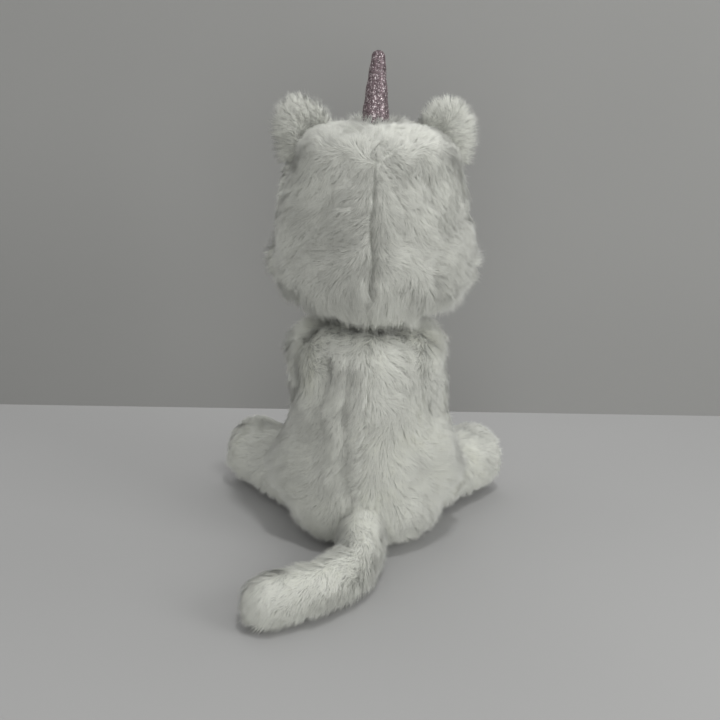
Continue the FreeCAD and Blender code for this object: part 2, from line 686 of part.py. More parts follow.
# --- Muzzle, nose and mouth: short pile, with a flocked nose and an embroidered mouth ---
muzzle_ball = bound(
    "Part::Ellipsoid",
    "muzzle_ball",
    Radius1="Sizes.muzzle_rise",
    Radius2="Sizes.muzzle_width",
    Radius3="Sizes.muzzle_depth",
)
place(muzzle_ball, (0, "Sizes.muzzle_front", "Sizes.muzzle_height"))
nodes["muzzle"] = cut("muzzle_cloth", muzzle_ball, head_outline)
muzzle_tip = "Sizes.muzzle_front - Sizes.muzzle_depth"
nose_ball = bound(
    "Part::Ellipsoid",
    "nose_ball",
    Radius1="Sizes.nose_rise",
    Radius2="Sizes.nose_width",
    Radius3="Sizes.nose_depth",
)
place(nose_ball, (0, f"{muzzle_tip} + Sizes.nose_sink", "Sizes.nose_height"))
nodes["nose"] = cut("nose_flock", nose_ball, muzzle_ball)
mouth_halves = []
for side_name, side in SIDES.items():
    curve = bound(
        "Part::Torus",
        f"mouth_curve_{side_name}",
        Radius1="Sizes.mouth_radius",
        Radius2="Sizes.thread_radius",
        Angle3=180,
    )
    hanging = Rotation(Vector(1, 0, 0), -90)
    at = (f"{side} * Sizes.mouth_radius", f"{muzzle_tip} + Sizes.thread_sink", "Sizes.mouth_height")
    mouth_halves.append(place(curve, at, hanging))
nodes["mouth_stitches"] = cut("mouth_thread", fuse("mouth_curves", mouth_halves), muzzle_ball)

# --- Name, check and write every piece ---
for node_name, item in nodes.items():
    item.Label = node_name
doc.recompute()

for item in doc.Objects:
    if "Invalid" in item.State or "Error" in item.State:
        raise RuntimeError(f"{item.Name} failed: {item.State}")
for node_name, item in nodes.items():
    shape = item.Shape
    if shape.isNull() or not shape.isValid() or shape.Volume <= 0:
        raise RuntimeError(f"{node_name} has no valid solid")
    shape.exportStep(f"parts/{node_name}.step")
    print(f"{node_name}: {len(shape.Solids)} solid, {shape.Volume / 1000:.1f} cm3")
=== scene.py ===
import json
import math
from functools import partialmethod

import bmesh
import bpy
import numpy as np
from bpy.props import FloatProperty, FloatVectorProperty, PointerProperty
from bpy.types import Operator, Panel, PropertyGroup
from mathutils import Matrix, Vector, noise


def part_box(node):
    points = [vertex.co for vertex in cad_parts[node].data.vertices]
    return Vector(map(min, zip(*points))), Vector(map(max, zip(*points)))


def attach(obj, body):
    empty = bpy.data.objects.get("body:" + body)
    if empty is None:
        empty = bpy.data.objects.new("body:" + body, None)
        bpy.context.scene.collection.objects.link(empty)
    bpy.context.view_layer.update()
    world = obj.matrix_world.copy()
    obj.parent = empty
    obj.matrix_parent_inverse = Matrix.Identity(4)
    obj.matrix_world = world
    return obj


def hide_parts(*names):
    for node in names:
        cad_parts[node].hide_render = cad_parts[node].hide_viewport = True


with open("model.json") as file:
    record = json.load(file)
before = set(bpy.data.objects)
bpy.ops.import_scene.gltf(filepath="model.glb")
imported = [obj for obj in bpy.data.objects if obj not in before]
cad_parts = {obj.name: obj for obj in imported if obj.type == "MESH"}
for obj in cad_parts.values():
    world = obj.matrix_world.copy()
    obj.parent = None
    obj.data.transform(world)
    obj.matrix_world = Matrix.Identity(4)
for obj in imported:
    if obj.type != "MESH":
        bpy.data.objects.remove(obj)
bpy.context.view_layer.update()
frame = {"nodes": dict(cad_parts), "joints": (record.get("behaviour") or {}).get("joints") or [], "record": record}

bl_info = {
    "name": "Plush unicorn",
    "version": (1, 0, 0),
    "blender": (4, 5, 0),
    "location": "View3D > Sidebar > Plush",
    "description": "Dresses a sitting plush unicorn with combed pile, ears, horn and face",
    "category": "Object",
}

MM = 0.001
SIDES = {"left": 1, "right": -1}
PIVOTS = {joint["name"]: Vector(joint["pos_m"]) for joint in frame["joints"]}
BODY_OF_NODE = {
    node: body for body, nodes in frame["record"]["behaviour"]["bodies"].items() for node in nodes
}
# Shape of the stuffed forms: where each is widest, as a share of its height, and how full
# its lower and upper halves are.
HEAD_SHAPE = (0.402, 3.2, 2.9)
TORSO_SHAPE = (0.303, 3.2, 6.0)
BELLY_LINE = -18 * MM
FACE_LINE = -16 * MM
BACKING = 0.8 * MM
# Heights where the torso's parts begin or end, and the holes for the neck and the horn.
SEAT_TOP = 12 * MM
SEAT_LINE = 30 * MM
SHOULDER_LINE = 126 * MM
NECKLINE = 128 * MM
NECK_HOLE_TOP = 178 * MM
NECK_HOLE_RADIUS = 18 * MM
HORN_HOLE_LOW = 255 * MM
# Strands in a square metre of the panels: most behind, fewer in front and underneath.
BELLY_STRANDS = 1.3e6
BACK_STRANDS = 2.75e6
FACE_STRANDS = 1.5e6
HEAD_BACK_STRANDS = 2.9e6
# The pile is short round an eye: from its edge it grows to full length over the fade.
EYE_CLEAR = 17 * MM
EYE_EDGE = 7 * MM
EYE_FADE = 10 * MM
# The face's pile is combed away from the nose within the first distance of the muzzle's
# middle, and is shorter within the second.
NOSE_REACH = 48 * MM
MUZZLE_REACH = 26 * MM
EAR_TILTS = {"left": math.radians(17), "right": math.radians(-10.5)}
CHEEK_WIDTHS = {"left": 12.5 * MM, "right": 16 * MM}
# How low the cloth of a form may come over the floor, so that its pile has room.
FLOOR_GAP = 2.2 * MM
PAW_GAP = 2.4 * MM


def colour_property(name, description, default):
    """Declare one colour of the settings."""
    return FloatVectorProperty(
        name=name, description=description, default=default, subtype="COLOR", min=0, max=1
    )


def length_property(name, description, default, least):
    """Declare one length of the settings."""
    return FloatProperty(name=name, description=description, default=default, min=least, unit="LENGTH")


class FurSettings(PropertyGroup):
    """Sizes and colours of the long pile."""

    length: length_property(
        "Pile length", "Length of a combed strand of the long pile", 11.5 * MM, 1 * MM
    )
    thickness: length_property(
        "Strand thickness", "Half width of a strand at its root", 0.22 * MM, 0.05 * MM
    )
    strands: FloatProperty(
        name="Strands", description="Strands in a square metre of backing", default=2.4e6, min=1.0
    )
    lean: FloatProperty(
        name="Lean",
        description="How far a strand leans from upright",
        default=math.radians(57),
        subtype="ANGLE",
    )
    lock: length_property(
        "Lock size", "Width of the locks that the strands gather into", 3.4 * MM, 0.5 * MM
    )
    # The pile is painted darker towards its roots, as shade deep in the pile, and the grey also stands for painted
    # shade in creases, partings, on the back-facing head and over the crown.
    colour: colour_property("Pile colour", "Colour of the clean pile at its tips", (0.905, 0.92, 0.842))
    cream: colour_property(
        "Cream tint", "Colour of the pile where it is slightly creamy", (0.87, 0.88, 0.755)
    )
    grey: colour_property("Grey tint", "Colour of the pile where it is dull", (0.78, 0.79, 0.725))


class TrimSettings(PropertyGroup):
    """Colours and sizes of the horn, ears and face."""

    horn: colour_property("Horn cloth", "Ground colour of the glitter cloth", (0.18, 0.132, 0.144))
    fleck: length_property("Glitter fleck", "Width of one fleck of glitter", 0.5 * MM, 0.1 * MM)
    lining: colour_property(
        "Pink plush", "Colour of the ear linings and the sole patches", (0.72, 0.43, 0.46)
    )
    nose: colour_property("Nose flock", "Colour of the flocked nose", (0.62, 0.27, 0.30))
    thread: colour_property("Mouth thread", "Colour of the mouth's embroidery", (0.22, 0.10, 0.11))


class StageSettings(PropertyGroup):
    """Floor, backdrop and lamps."""

    floor: colour_property("Floor colour", "Colour of the floor", (0.41, 0.41, 0.405))
    wall: colour_property("Backdrop colour", "Colour of the backdrop", (0.33, 0.33, 0.32))
    lamp: FloatProperty(
        name="Lamp",
        description="Strength that the shares of all the lamps are taken from",
        default=7.0,
        min=0,
        unit="POWER",
    )
    sky: FloatProperty(
        name="Room light",
        description="Strength of the even light from all sides",
        default=0.54,
        min=0,
    )


class Wiring:
    """Adds nodes to a tree, and feeds their sockets from other nodes or plain values."""

    def __init__(self, tree):
        self.tree = tree

    def node(self, kind, inputs=(), **settings):
        item = self.tree.nodes.new(kind)
        for name, value in settings.items():
            setattr(item, name, value)
        self.fill(item, dict(inputs))
        return item

    def fill(self, item, inputs):
        for socket, value in inputs.items():
            self.feed(item.inputs[socket], value)

    def feed(self, socket, value):
        if isinstance(value, bpy.types.Node):
            value = value.outputs[0]
        if isinstance(value, bpy.types.NodeSocket):
            self.tree.links.new(value, socket)
        else:
            socket.default_value = value

    def math(self, operation, a, b=0.0):
        return self.node("ShaderNodeMath", {0: a, 1: b}, operation=operation).outputs[0]

    plus = partialmethod(math, "ADD")
    minus = partialmethod(math, "SUBTRACT")
    times = partialmethod(math, "MULTIPLY")
    larger = partialmethod(math, "MAXIMUM")
    smaller = partialmethod(math, "MINIMUM")
    over = partialmethod(math, "DIVIDE")
    sine = partialmethod(math, "SINE")
    cosine = partialmethod(math, "COSINE")

    def vector(self, operation, a, b=(0, 0, 0)):
        item = self.node("ShaderNodeVectorMath", {0: a, 1: b}, operation=operation)
        scalar = operation in ("DOT_PRODUCT", "LENGTH")
        return item.outputs["Value" if scalar else "Vector"]

    cross = partialmethod(vector, "CROSS_PRODUCT")
    dot = partialmethod(vector, "DOT_PRODUCT")
    less = partialmethod(vector, "SUBTRACT")
    unit = partialmethod(vector, "NORMALIZE")

    def scale(self, vector, factor):
        inputs = {0: vector, "Scale": factor}
        return self.node("ShaderNodeVectorMath", inputs, operation="SCALE").outputs[0]

    def total(self, *vectors):
        result = vectors[0]
        for other in vectors[1:]:
            result = self.vector("ADD", result, other)
        return result

    def split(self, vector):
        return self.node("ShaderNodeSeparateXYZ", {0: vector}).outputs

    def join(self, x, y, z=0.0):
        return self.node("ShaderNodeCombineXYZ", {0: x, 1: y, 2: z}).outputs[0]

    def attribute(self, name, data_type="FLOAT"):
        kind = "GeometryNodeInputNamedAttribute"
        return self.node(kind, {"Name": name}, data_type=data_type).outputs["Attribute"]

    def store(self, geometry, name, value, data_type="FLOAT", domain="POINT"):
        kind = "GeometryNodeStoreNamedAttribute"
        inputs = {"Name": name, "Geometry": geometry, "Value": value}
        return self.node(kind, inputs, data_type=data_type, domain=domain).outputs["Geometry"]

    def random(self, low, high, seed):
        inputs = {"Seed": seed, 2: low, 3: high}
        return self.node("FunctionNodeRandomValue", inputs, data_type="FLOAT").outputs[1]

    def position(self):
        return self.node("GeometryNodeInputPosition").outputs[0]

    def place(self):
        return self.node("ShaderNodeTexCoord").outputs["Object"]

    def noise(self, place, scale, detail):
        inputs = {"Vector": place, "Scale": scale, "Detail": detail}
        return self.node("ShaderNodeTexNoise", inputs).outputs[0]

    def cells(self, place, scale):
        return self.node("ShaderNodeTexVoronoi", {"Vector": place, "Scale": scale}).outputs

    def relief(self, height, strength, distance):
        inputs = {"Strength": strength, "Distance": distance, "Height": height}
        return self.node("ShaderNodeBump", inputs)


# A strand's flat side is turned up from its first corner by 30 degrees.
STRAND_TURN = (math.cos(math.pi / 6), math.sin(math.pi / 6))
PILE_INPUTS = [
    ("Backing", "NodeSocketGeometry", None),
    ("Strands per area", "NodeSocketFloat", 1.0e6),
    ("Length", "NodeSocketFloat", 12 * MM),
    ("Thickness", "NodeSocketFloat", 0.3 * MM),
    ("Lean", "NodeSocketFloat", 1.0),
    ("Lock size", "NodeSocketFloat", 4 * MM),
    ("Lock pull", "NodeSocketFloat", 0.42),
    ("Lock turn", "NodeSocketFloat", 0.45),
    ("Droop", "NodeSocketFloat", 0.25),
    ("Swirl", "NodeSocketFloat", 1.1),
    ("Swirl size", "NodeSocketFloat", 20 * MM),
    ("Lowest height", "NodeSocketFloat", 0.3 * MM),
    ("Seed", "NodeSocketInt", 1),
    ("Fur", "NodeSocketMaterial", None),
]


def pile_tree():
    """Build the node group that grows combed pile, gathered in locks, from a cloth backing."""
    tree = bpy.data.node_groups.new("Combed pile", "GeometryNodeTree")
    for name, kind, value in PILE_INPUTS:
        socket = tree.interface.new_socket(name, in_out="INPUT", socket_type=kind)
        if value is not None:
            socket.default_value = value
    tree.interface.new_socket("Plush", in_out="OUTPUT", socket_type="NodeSocketGeometry")
    w = Wiring(tree)
    given = w.node("NodeGroupInput").outputs

    scatter = w.node(
        "GeometryNodeDistributePointsOnFaces",
        {
            "Mesh": given["Backing"],
            "Selection": w.attribute("furred", "BOOLEAN"),
            "Density": given["Strands per area"],
            "Seed": given["Seed"],
        },
        distribute_method="RANDOM",
    )
    out = scatter.outputs["Normal"]
    root = w.position()
    lock = w.cells(root, w.over(1.0, given["Lock size"]))
    chance = w.split(lock["Color"])
    swirl = w.noise(root, w.over(1.0, given["Swirl size"]), 1.0)

    # Direction in the cloth: the combed way, turned by swirls, by lock and by strand.
    combed = w.attribute("comb", "FLOAT_VECTOR")
    upright = w.scale(out, w.dot(combed, out))
    ahead = w.unit(w.less(combed, upright))
    across = w.cross(out, ahead)
    swirl_turn = w.times(w.minus(swirl, 0.5), given["Swirl"])
    lock_turn = w.times(w.minus(chance[0], 0.5), given["Lock turn"])
    turn = w.plus(w.times(swirl_turn, 4.0), w.times(lock_turn, 2.0))
    turn = w.plus(turn, w.random(-0.3, 0.3, 11))
    along = w.unit(w.total(w.scale(ahead, w.cosine(turn)), w.scale(across, w.sine(turn))))

    # Reach of the tip of a strand from its root. Short strands stand more upright.
    growth = w.random(0.0, 1.0, 12)
    lean = w.times(given["Lean"], w.attribute("lay"))
    lean = w.times(lean, w.plus(w.times(chance[1], 0.35), 0.6))
    lean = w.plus(lean, w.times(growth, 0.3))
    topside = w.times(w.larger(w.split(out)[2], 0.0), 0.42)
    lean = w.smaller(w.plus(lean, topside), 1.32)
    length = w.times(given["Length"], w.attribute("pile"))
    length = w.times(length, w.plus(w.times(chance[2], 0.2), 0.85))
    length = w.times(length, w.plus(w.times(growth, 0.5), 0.58))

    # Weight pulls the pile down, least of all on top, where it lies down already.
    hang = w.minus(w.larger(w.split(out)[2], 0.0), 1.0)
    weight = w.join(0.0, 0.0, w.times(given["Droop"], hang))
    reach = w.total(w.scale(out, w.cosine(lean)), w.scale(along, w.sine(lean)), weight)
    reach = w.unit(reach)
    to_lock = w.less(lock["Position"], root)
    to_lock = w.less(to_lock, w.scale(out, w.dot(to_lock, out)))
    to_lock = w.scale(to_lock, given["Lock pull"])
    tip = w.total(w.scale(reach, length), to_lock)

    thickness = w.times(given["Thickness"], w.random(0.75, 1.2, 14))
    hue = w.plus(w.times(chance[2], 0.2), w.random(0.0, 0.2, 15))
    # The tint carries random tone, and the painted shade and light of the grooms.
    hue = w.plus(hue, w.times(w.attribute("tint"), 0.5))
    hue = w.larger(hue, 0.02)
    points = scatter.outputs["Points"]
    for name, value, kind in [
        ("tip_reach", tip, "FLOAT_VECTOR"),
        ("strand_side", w.cross(out, along), "FLOAT_VECTOR"),
        ("strand_out", out, "FLOAT_VECTOR"),
        ("strand_thickness", thickness, "FLOAT"),
        ("strand_hue", hue, "FLOAT"),
    ]:
        points = w.store(points, name, value, kind)

    # One strand is a three-sided spike, stretched to its reach once it is placed.
    spike = w.node(
        "GeometryNodeMeshCone",
        {
            "Vertices": 3,
            "Side Segments": 1,
            "Fill Segments": 1,
            "Radius Top": 0.0,
            "Radius Bottom": 1.0,
            "Depth": 1.0,
        },
        fill_type="NGON",
    ).outputs["Mesh"]
    spike = w.store(spike, "spike", w.position(), "FLOAT_VECTOR")
    strands = w.node("GeometryNodeInstanceOnPoints", {"Points": points, "Instance": spike})
    strands = w.node("GeometryNodeRealizeInstances", {0: strands}).outputs[0]

    place = w.position()
    shape = w.attribute("spike", "FLOAT_VECTOR")
    ring_x, ring_y, rise = w.split(shape)
    tip_reach = w.attribute("tip_reach", "FLOAT_VECTOR")
    side = w.attribute("strand_side", "FLOAT_VECTOR")
    over = w.unit(w.cross(tip_reach, side))
    thick = w.attribute("strand_thickness")
    wide = w.times(thick, STRAND_TURN[0])
    aslant = w.times(thick, STRAND_TURN[1])
    flat_x = w.minus(w.times(ring_x, wide), w.times(ring_y, aslant))
    flat_y = w.plus(w.times(ring_x, aslant), w.times(ring_y, wide))
    placed = w.total(
        w.less(place, shape),
        w.scale(tip_reach, rise),
        w.scale(side, flat_x),
        w.scale(over, w.times(flat_y, 0.5)),
    )
    at = w.split(placed)
    clear = w.join(at[0], at[1], w.larger(at[2], given["Lowest height"]))
    strands = w.node("GeometryNodeSetPosition", {"Geometry": strands, "Position": clear})
    strands = w.node("GeometryNodeSetShadeSmooth", {0: strands}).outputs[0]

    # A strand keeps the way that the cloth under it faces, with its tilt up or down eased.
    cloth = w.split(w.attribute("strand_out", "FLOAT_VECTOR"))
    lifted = w.larger(w.times(cloth[2], 0.55), w.times(cloth[2], 0.4))
    cloth = w.unit(w.join(cloth[0], cloth[1], lifted))
    strands = w.store(strands, "facing", cloth, "FLOAT_VECTOR")

    # The strand's own place in the colour map: across is its hue, up is root to tip.
    spread = w.plus(ring_x, w.times(ring_y, 0.5))
    across_map = w.plus(w.attribute("strand_hue"), w.times(spread, 0.0015))
    up_map = w.plus(w.times(rise, 0.94), 0.03)
    strands = w.store(strands, "OFBake", w.join(across_map, up_map), "FLOAT2", "CORNER")
    joined = w.node("GeometryNodeJoinGeometry")
    tree.links.new(strands, joined.inputs[0])
    tree.links.new(given["Backing"], joined.inputs[0])
    whole = w.node("GeometryNodeRealizeInstances", {0: joined}).outputs[0]

    # Soft pile scatters light between its strands, so it is shaded mostly as the cloth is.
    own = w.node("GeometryNodeInputNormal").outputs
    facing = w.attribute("facing", "FLOAT_VECTOR")
    on_backing = w.math("LESS_THAN", w.vector("LENGTH", facing), 0.5)
    soft = w.unit(w.total(facing, w.scale(own["True Normal"], 0.7)))
    soft = w.node(
        "GeometryNodeSwitch",
        {"Switch": on_backing, "False": soft, "True": own["Normal"]},
        input_type="VECTOR",
    ).outputs[0]
    whole = w.node(
        "GeometryNodeSetMeshNormal", {"Mesh": whole, "Custom Normal": soft}, mode="FREE"
    ).outputs[0]
    whole = w.node("GeometryNodeSetMaterial", {"Geometry": whole, "Material": given["Fur"]})
    result = w.node("NodeGroupOutput")
    tree.links.new(whole.outputs[0], result.inputs[0])
    return tree


def clamp(value, low=0.0, high=1.0):
    """Keep a value between two limits."""
    return min(high, max(low, value))


def circle(columns):
    """Return evenly spaced turns about an axis."""
    return [2 * math.pi * k / columns for k in range(columns)]


def turned_rings(profile, columns, centre=(0.0, 0.0)):
    """Turn (radius, height) pairs about an upright axis into rings of points."""
    return [
        [Vector((centre[0] + r * math.cos(a), centre[1] + r * math.sin(a), z)) for a in circle(columns)]
        for r, z in profile
    ]


def oval_profile(radius, half, steps):
    """Return the outline of an oval about its middle, without its two ends."""
    turns = [math.pi * k / steps for k in range(1, steps)]
    return [(radius * math.sin(turn), -half * math.cos(turn)) for turn in turns]


def full_profile(radius, bottom, middle, top, low_power, high_power, steps=24):
    """Return the outline of a full stuffed form, from its foot to its crown."""
    profile = []
    for k in range(1 - steps, steps):
        rise = math.sin(math.pi / 2 * k / steps)
        half, power = (top - middle, high_power) if k > 0 else (middle - bottom, low_power)
        ring = radius * (1 - abs(rise) ** power) ** (1 / power)
        profile.append((ring, middle + half * rise))
    return profile


def closed_form(rings, start, end):
    """Join rings of points into one closed surface, drawn to a point at both ends."""
    form = bmesh.new()
    rows = [[form.verts.new(point) for point in ring] for ring in rings]
    count = len(rows[0])
    for low, high in zip(rows, rows[1:]):
        for k in range(count):
            after = (k + 1) % count
            form.faces.new((low[k], low[after], high[after], high[k]))
    for point, ring in ((start, rows[0]), (end, rows[-1])):
        tip = form.verts.new(point)
        for k in range(count):
            form.faces.new((tip, ring[k], ring[(k + 1) % count]))
    bmesh.ops.recalc_face_normals(form, faces=form.faces[:])
    form.normal_update()
    return form


def disc_faces(form, centre, rows, back=None):
    """Join a centre and the rings of vertices round it, and close the back on a vertex."""
    count = len(rows[0])
    for k in range(count):
        after = (k + 1) % count
        form.faces.new((centre, rows[0][k], rows[0][after]))
        if back is not None:
            form.faces.new((back, rows[-1][after], rows[-1][k]))
        for inner, outer in zip(rows, rows[1:]):
            form.faces.new((inner[k], outer[k], outer[after], inner[after]))


def rest_above(form, height):
    """Flatten a form where it would come lower than a height."""
    for vertex in form.verts:
        vertex.co.z = max(vertex.co.z, height)
    form.normal_update()


def move_form(form, matrix):
    """Move a form by a matrix."""
    bmesh.ops.transform(form, matrix=matrix, verts=form.verts[:])
    form.normal_update()


def bumps(point, width, seed):
    """Return smooth, even variation from -1 to 1 over a surface, repeatable by its seed."""
    return noise.noise(point / width + Vector((seed * 7.3, seed * 3.1, seed * 5.7)))


def near_path(x, z, path):
    """Return the distance from (x, z) to a path."""
    best = 1e9
    for (x0, z0), (x1, z1) in zip(path, path[1:]):
        run = (x1 - x0, z1 - z0)
        share = ((x - x0) * run[0] + (z - z0) * run[1]) / (run[0] ** 2 + run[1] ** 2)
        share = clamp(share)
        off_x = x - x0 - share * run[0]
        off_z = z - z0 - share * run[1]
        best = min(best, math.hypot(off_x, off_z))
    return best


def crease_at(point, normal, creases):
    """Return how deep the creases of the back press a point in."""
    depth = 0.0
    for path, deep, width in creases:
        if normal.y > 0:
            away = near_path(point.x, point.z, [(x * MM, z * MM) for x, z in path])
            depth += deep * MM * math.exp(-((away / (width * MM)) ** 2))
    return depth


def near(point, x, z, width):
    """Return 1 at a place (x, z) in millimetres, fading over a width around it."""
    away = math.hypot(point.x - x * MM, point.z - z * MM)
    return math.exp(-((away / (width * MM)) ** 2))


def near_any(point, places):
    """Return how near a point is to any of several (x, z, width) places."""
    return sum(near(point, *place) for place in places)


def press(form, lump, width, seed, creases=(), swells=()):
    """Give a form its soft lumps, swell it here and there, and press the creases in."""
    for vertex in form.verts:
        depth = crease_at(vertex.co, vertex.normal, creases)
        swell = lump * bumps(vertex.co, width, seed) + 0.5 * lump * bumps(
            vertex.co, width / 2.3, seed + 1
        )
        for x, z, reach, height in swells:
            swell += height * MM * near(vertex.co, x, z, reach)
        vertex.co = vertex.co + vertex.normal * (swell - depth)
    form.normal_update()
    return form


class Cut:
    """One piece cut from a stuffed form: its points, outward normals and faces."""

    def __init__(self, form, keep=None):
        form.verts.index_update()
        index = {}
        self.points = []
        self.normals = []
        self.faces = []
        for face in form.faces:
            if keep is not None and not keep(face.calc_center_median()):
                continue
            corners = []
            for vertex in face.verts:
                if vertex.index not in index:
                    index[vertex.index] = len(self.points)
                    self.points.append(vertex.co.copy())
                    self.normals.append(vertex.normal.copy())
                corners.append(index[vertex.index])
            self.faces.append(corners)


def seam(form, point, normal):
    """Cut a form's faces along a plane, where a seam runs."""
    everything = form.verts[:] + form.edges[:] + form.faces[:]
    bmesh.ops.bisect_plane(form, geom=everything, plane_co=point, plane_no=normal)
    form.normal_update()


def backing_mesh(name, cut, groom):
    """Make the closed cloth backing of a cut piece, with the groom of its pile.

    groom(point, normal) gives the comb direction, pile length, lay and tint at a point; the tint carries random
    tone as well as painted shade and light."""
    outer = [list(face) for face in cut.faces]
    count = len(cut.points)
    inner = [[corner + count for corner in reversed(face)] for face in outer]
    edges = {(a, b) for face in outer for a, b in zip(face, face[1:] + face[:1])}
    rims = [[b, a, a + count, b + count] for a, b in sorted(edges) if (b, a) not in edges]
    points = cut.points + [p - n * BACKING for p, n in zip(cut.points, cut.normals)]
    mesh = bpy.data.meshes.new(name)
    mesh.from_pydata(points, [], outer + inner + rims)
    groomed = [groom(p, n) for p, n in zip(cut.points, cut.normals)] * 2
    comb = np.array([tuple(g[0]) for g in groomed], np.float32)
    mesh.attributes.new("comb", "FLOAT_VECTOR", "POINT").data.foreach_set("vector", comb.ravel())
    for number, attribute in enumerate(("pile", "lay", "tint"), start=1):
        values = np.array([g[number] for g in groomed], np.float32)
        mesh.attributes.new(attribute, "FLOAT", "POINT").data.foreach_set("value", values)
    furred = [g[1] > 0.02 for g in groomed[:count]]
    flags = [all(furred[corner] for corner in face) for face in outer]
    flags += [False] * (len(inner) + len(rims))
    mesh.attributes.new("furred", "BOOLEAN", "FACE").data.foreach_set("value", flags)
    # All backing faces share one small patch of the colour map, kept for the backing, which the pile's material
    # paints dark as shade at the roots.
    patch = mesh.uv_layers.new(name="OFBake").data
    for face in mesh.polygons:
        for k, loop in enumerate(face.loop_indices):
            turn = 2 * math.pi * k / face.loop_total
            patch[loop].uv = (0.985 + 0.006 * math.cos(turn), 0.5 + 0.2 * math.sin(turn))
    mesh.polygons.foreach_set("use_smooth", [True] * len(mesh.polygons))
    return mesh


def add_piece(name, mesh):
    """Put a mesh in the scene as an object at the origin."""
    piece = bpy.data.objects.new(name, mesh)
    bpy.context.scene.collection.objects.link(piece)
    return piece


def dress(piece, nodes):
    """Let a finished piece stand for its CAD nodes, and ride on their body."""
    body = BODY_OF_NODE[nodes[0]]
    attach(piece, body)
    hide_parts(*nodes)
    return piece


def run_tree(piece, name, build, values):
    """Run a node group, built when first asked for, on a piece, and keep what it makes."""
    made_by = piece.modifiers.new(name, "NODES")
    made_by.node_group = bpy.data.node_groups.get(name) or build()
    for socket in made_by.node_group.interface.items_tree:
        if socket.in_out == "INPUT" and socket.name in values:
            made_by[socket.identifier] = values[socket.name]
    evaluated = piece.evaluated_get(bpy.context.evaluated_depsgraph_get())
    mesh = bpy.data.meshes.new_from_object(evaluated)
    before = piece.data
    piece.modifiers.clear()
    piece.data = mesh
    bpy.data.meshes.remove(before)
    mesh.name = piece.name
    return mesh


def grow_pile(name, cut, groom, nodes, fur, slot="long_fur", fill=0.7, **sizes):
    """Grow pile on a cut piece with the node group, and keep the result as a plain mesh."""
    settings = bpy.context.scene.plush_fur
    values = {
        "Strands per area": settings.strands,
        "Length": settings.length,
        "Thickness": settings.thickness,
        "Lean": settings.lean,
        "Lock size": settings.lock,
        "Fur": fur,
        "Seed": sum(map(ord, name)),
    }
    values.update({key.replace("_", " ").capitalize(): v for key, v in sizes.items()})
    piece = add_piece(name, backing_mesh(name, cut, groom))
    plush = run_tree(piece, "Combed pile", pile_tree, values)
    keep = {"position", "OFBake", "material_index", "sharp_face", "custom_normal"}
    for attribute in [a.name for a in plush.attributes]:
        if attribute not in keep and not attribute.startswith("."):
            plush.attributes.remove(plush.attributes[attribute])
    return dress(piece, nodes)


def grow_form(name, form, groom, node, fur, keep=None, **sizes):
    """Grow pile on a form, or on the part of it that a test keeps, and let the form go."""
    grow_pile(name, Cut(form, keep), groom, [node], fur, **sizes)
    form.free()


def grow_panels(form, panels, groom):
    """Grow the long pile on the panels cut from a form: node, test and strands of each."""
    for node, keep, strands in panels:
        name = node.replace("panel", "plush")
        grow_pile(name, Cut(form, keep), groom, [node], long_fur(), strands_per_area=strands)
    form.free()


def place_form(form, name, material, node):
    """Put a form in the scene as a smooth, padded piece with no pile."""
    mesh = bpy.data.meshes.new(name)
    form.to_mesh(mesh)
    form.free()
    mesh.polygons.foreach_set("use_smooth", [True] * len(mesh.polygons))
    mesh.materials.append(material)
    dress(add_piece(name, mesh), [node])


def shader(name):
    """Start a node material, and return it with its wiring and its shader node."""
    material = bpy.data.materials.new(name)
    material.use_nodes = True
    wiring = Wiring(material.node_tree)
    surface = material.node_tree.nodes["Principled BSDF"]
    return material, wiring, surface


def ramp(wiring, factor, *stops):
    """Add a colour ramp through (place, colour) stops."""
    item = wiring.node("ShaderNodeValToRGB", {0: factor})
    elements = item.color_ramp.elements
    while len(elements) < len(stops):
        elements.new(0.5)
    for element, (place, colour) in zip(elements, stops):
        element.position = place
        element.color = (*colour, 1)
    return item.outputs["Color"]


def scaled(colour, share):
    """Return a colour scaled by a share."""
    return tuple(share * c for c in colour)


def pile_material(name, plain, cream, grey, root_shade_share=0.74, sheen=0.25):
    """Make the pile's material: hue by strand, with painted shade darker at the root, all from its own map."""
    if name in bpy.data.materials:
        return bpy.data.materials[name]
    material, w, surface = shader(name)
    on_map = w.split(w.node("ShaderNodeUVMap", uv_map="OFBake").outputs["UV"])
    # The lowest stop, darker than the grey, is painted shade for deep creases and partings; the last is painted
    # shade for the backing's patch, seen where the pile parts.
    hue = ramp(
        w,
        on_map[0],
        (0.0, scaled(grey, 0.78)),
        (0.24, grey),
        (0.5, plain),
        (0.93, cream),
        (0.97, scaled(plain, 0.7)),
    )
    strand = w.node(
        "ShaderNodeTexWhiteNoise",
        {"W": w.math("ROUND", w.times(on_map[0], 330.0))},
        noise_dimensions="1D",
    ).outputs["Value"]
    level = w.plus(w.times(strand, 0.05), 0.95)
    # Painted shade: each strand is painted darker towards its root, deep in the pile.
    fade = w.smaller(w.plus(w.times(on_map[1], 0.7), root_shade_share), 1.0)
    level = w.times(level, fade)
    shaded = w.node("ShaderNodeMix", {0: 1.0}, data_type="RGBA", blend_type="MULTIPLY")
    grey_level = w.node("ShaderNodeCombineColor", {0: level, 1: level, 2: level})
    w.fill(shaded, {6: hue, 7: grey_level})
    looks = {
        "Base Color": shaded.outputs[2],
        "Roughness": 0.72,
        "Specular IOR Level": 0.22,
        "Sheen Weight": sheen,
        "Sheen Roughness": 0.5,
    }
    w.fill(surface, looks)
    return material


def long_fur():
    """Return the material of the long pile."""
    fur = bpy.context.scene.plush_fur
    return pile_material("Long pile", tuple(fur.colour), tuple(fur.cream), tuple(fur.grey))


def short_fur():
    """Return the material of the short pile of muzzle and throat."""
    fur = bpy.context.scene.plush_fur
    plain = tuple(fur.colour)
    return pile_material("Short pile", plain, plain, scaled(plain, 0.9), 0.82, 0.35)


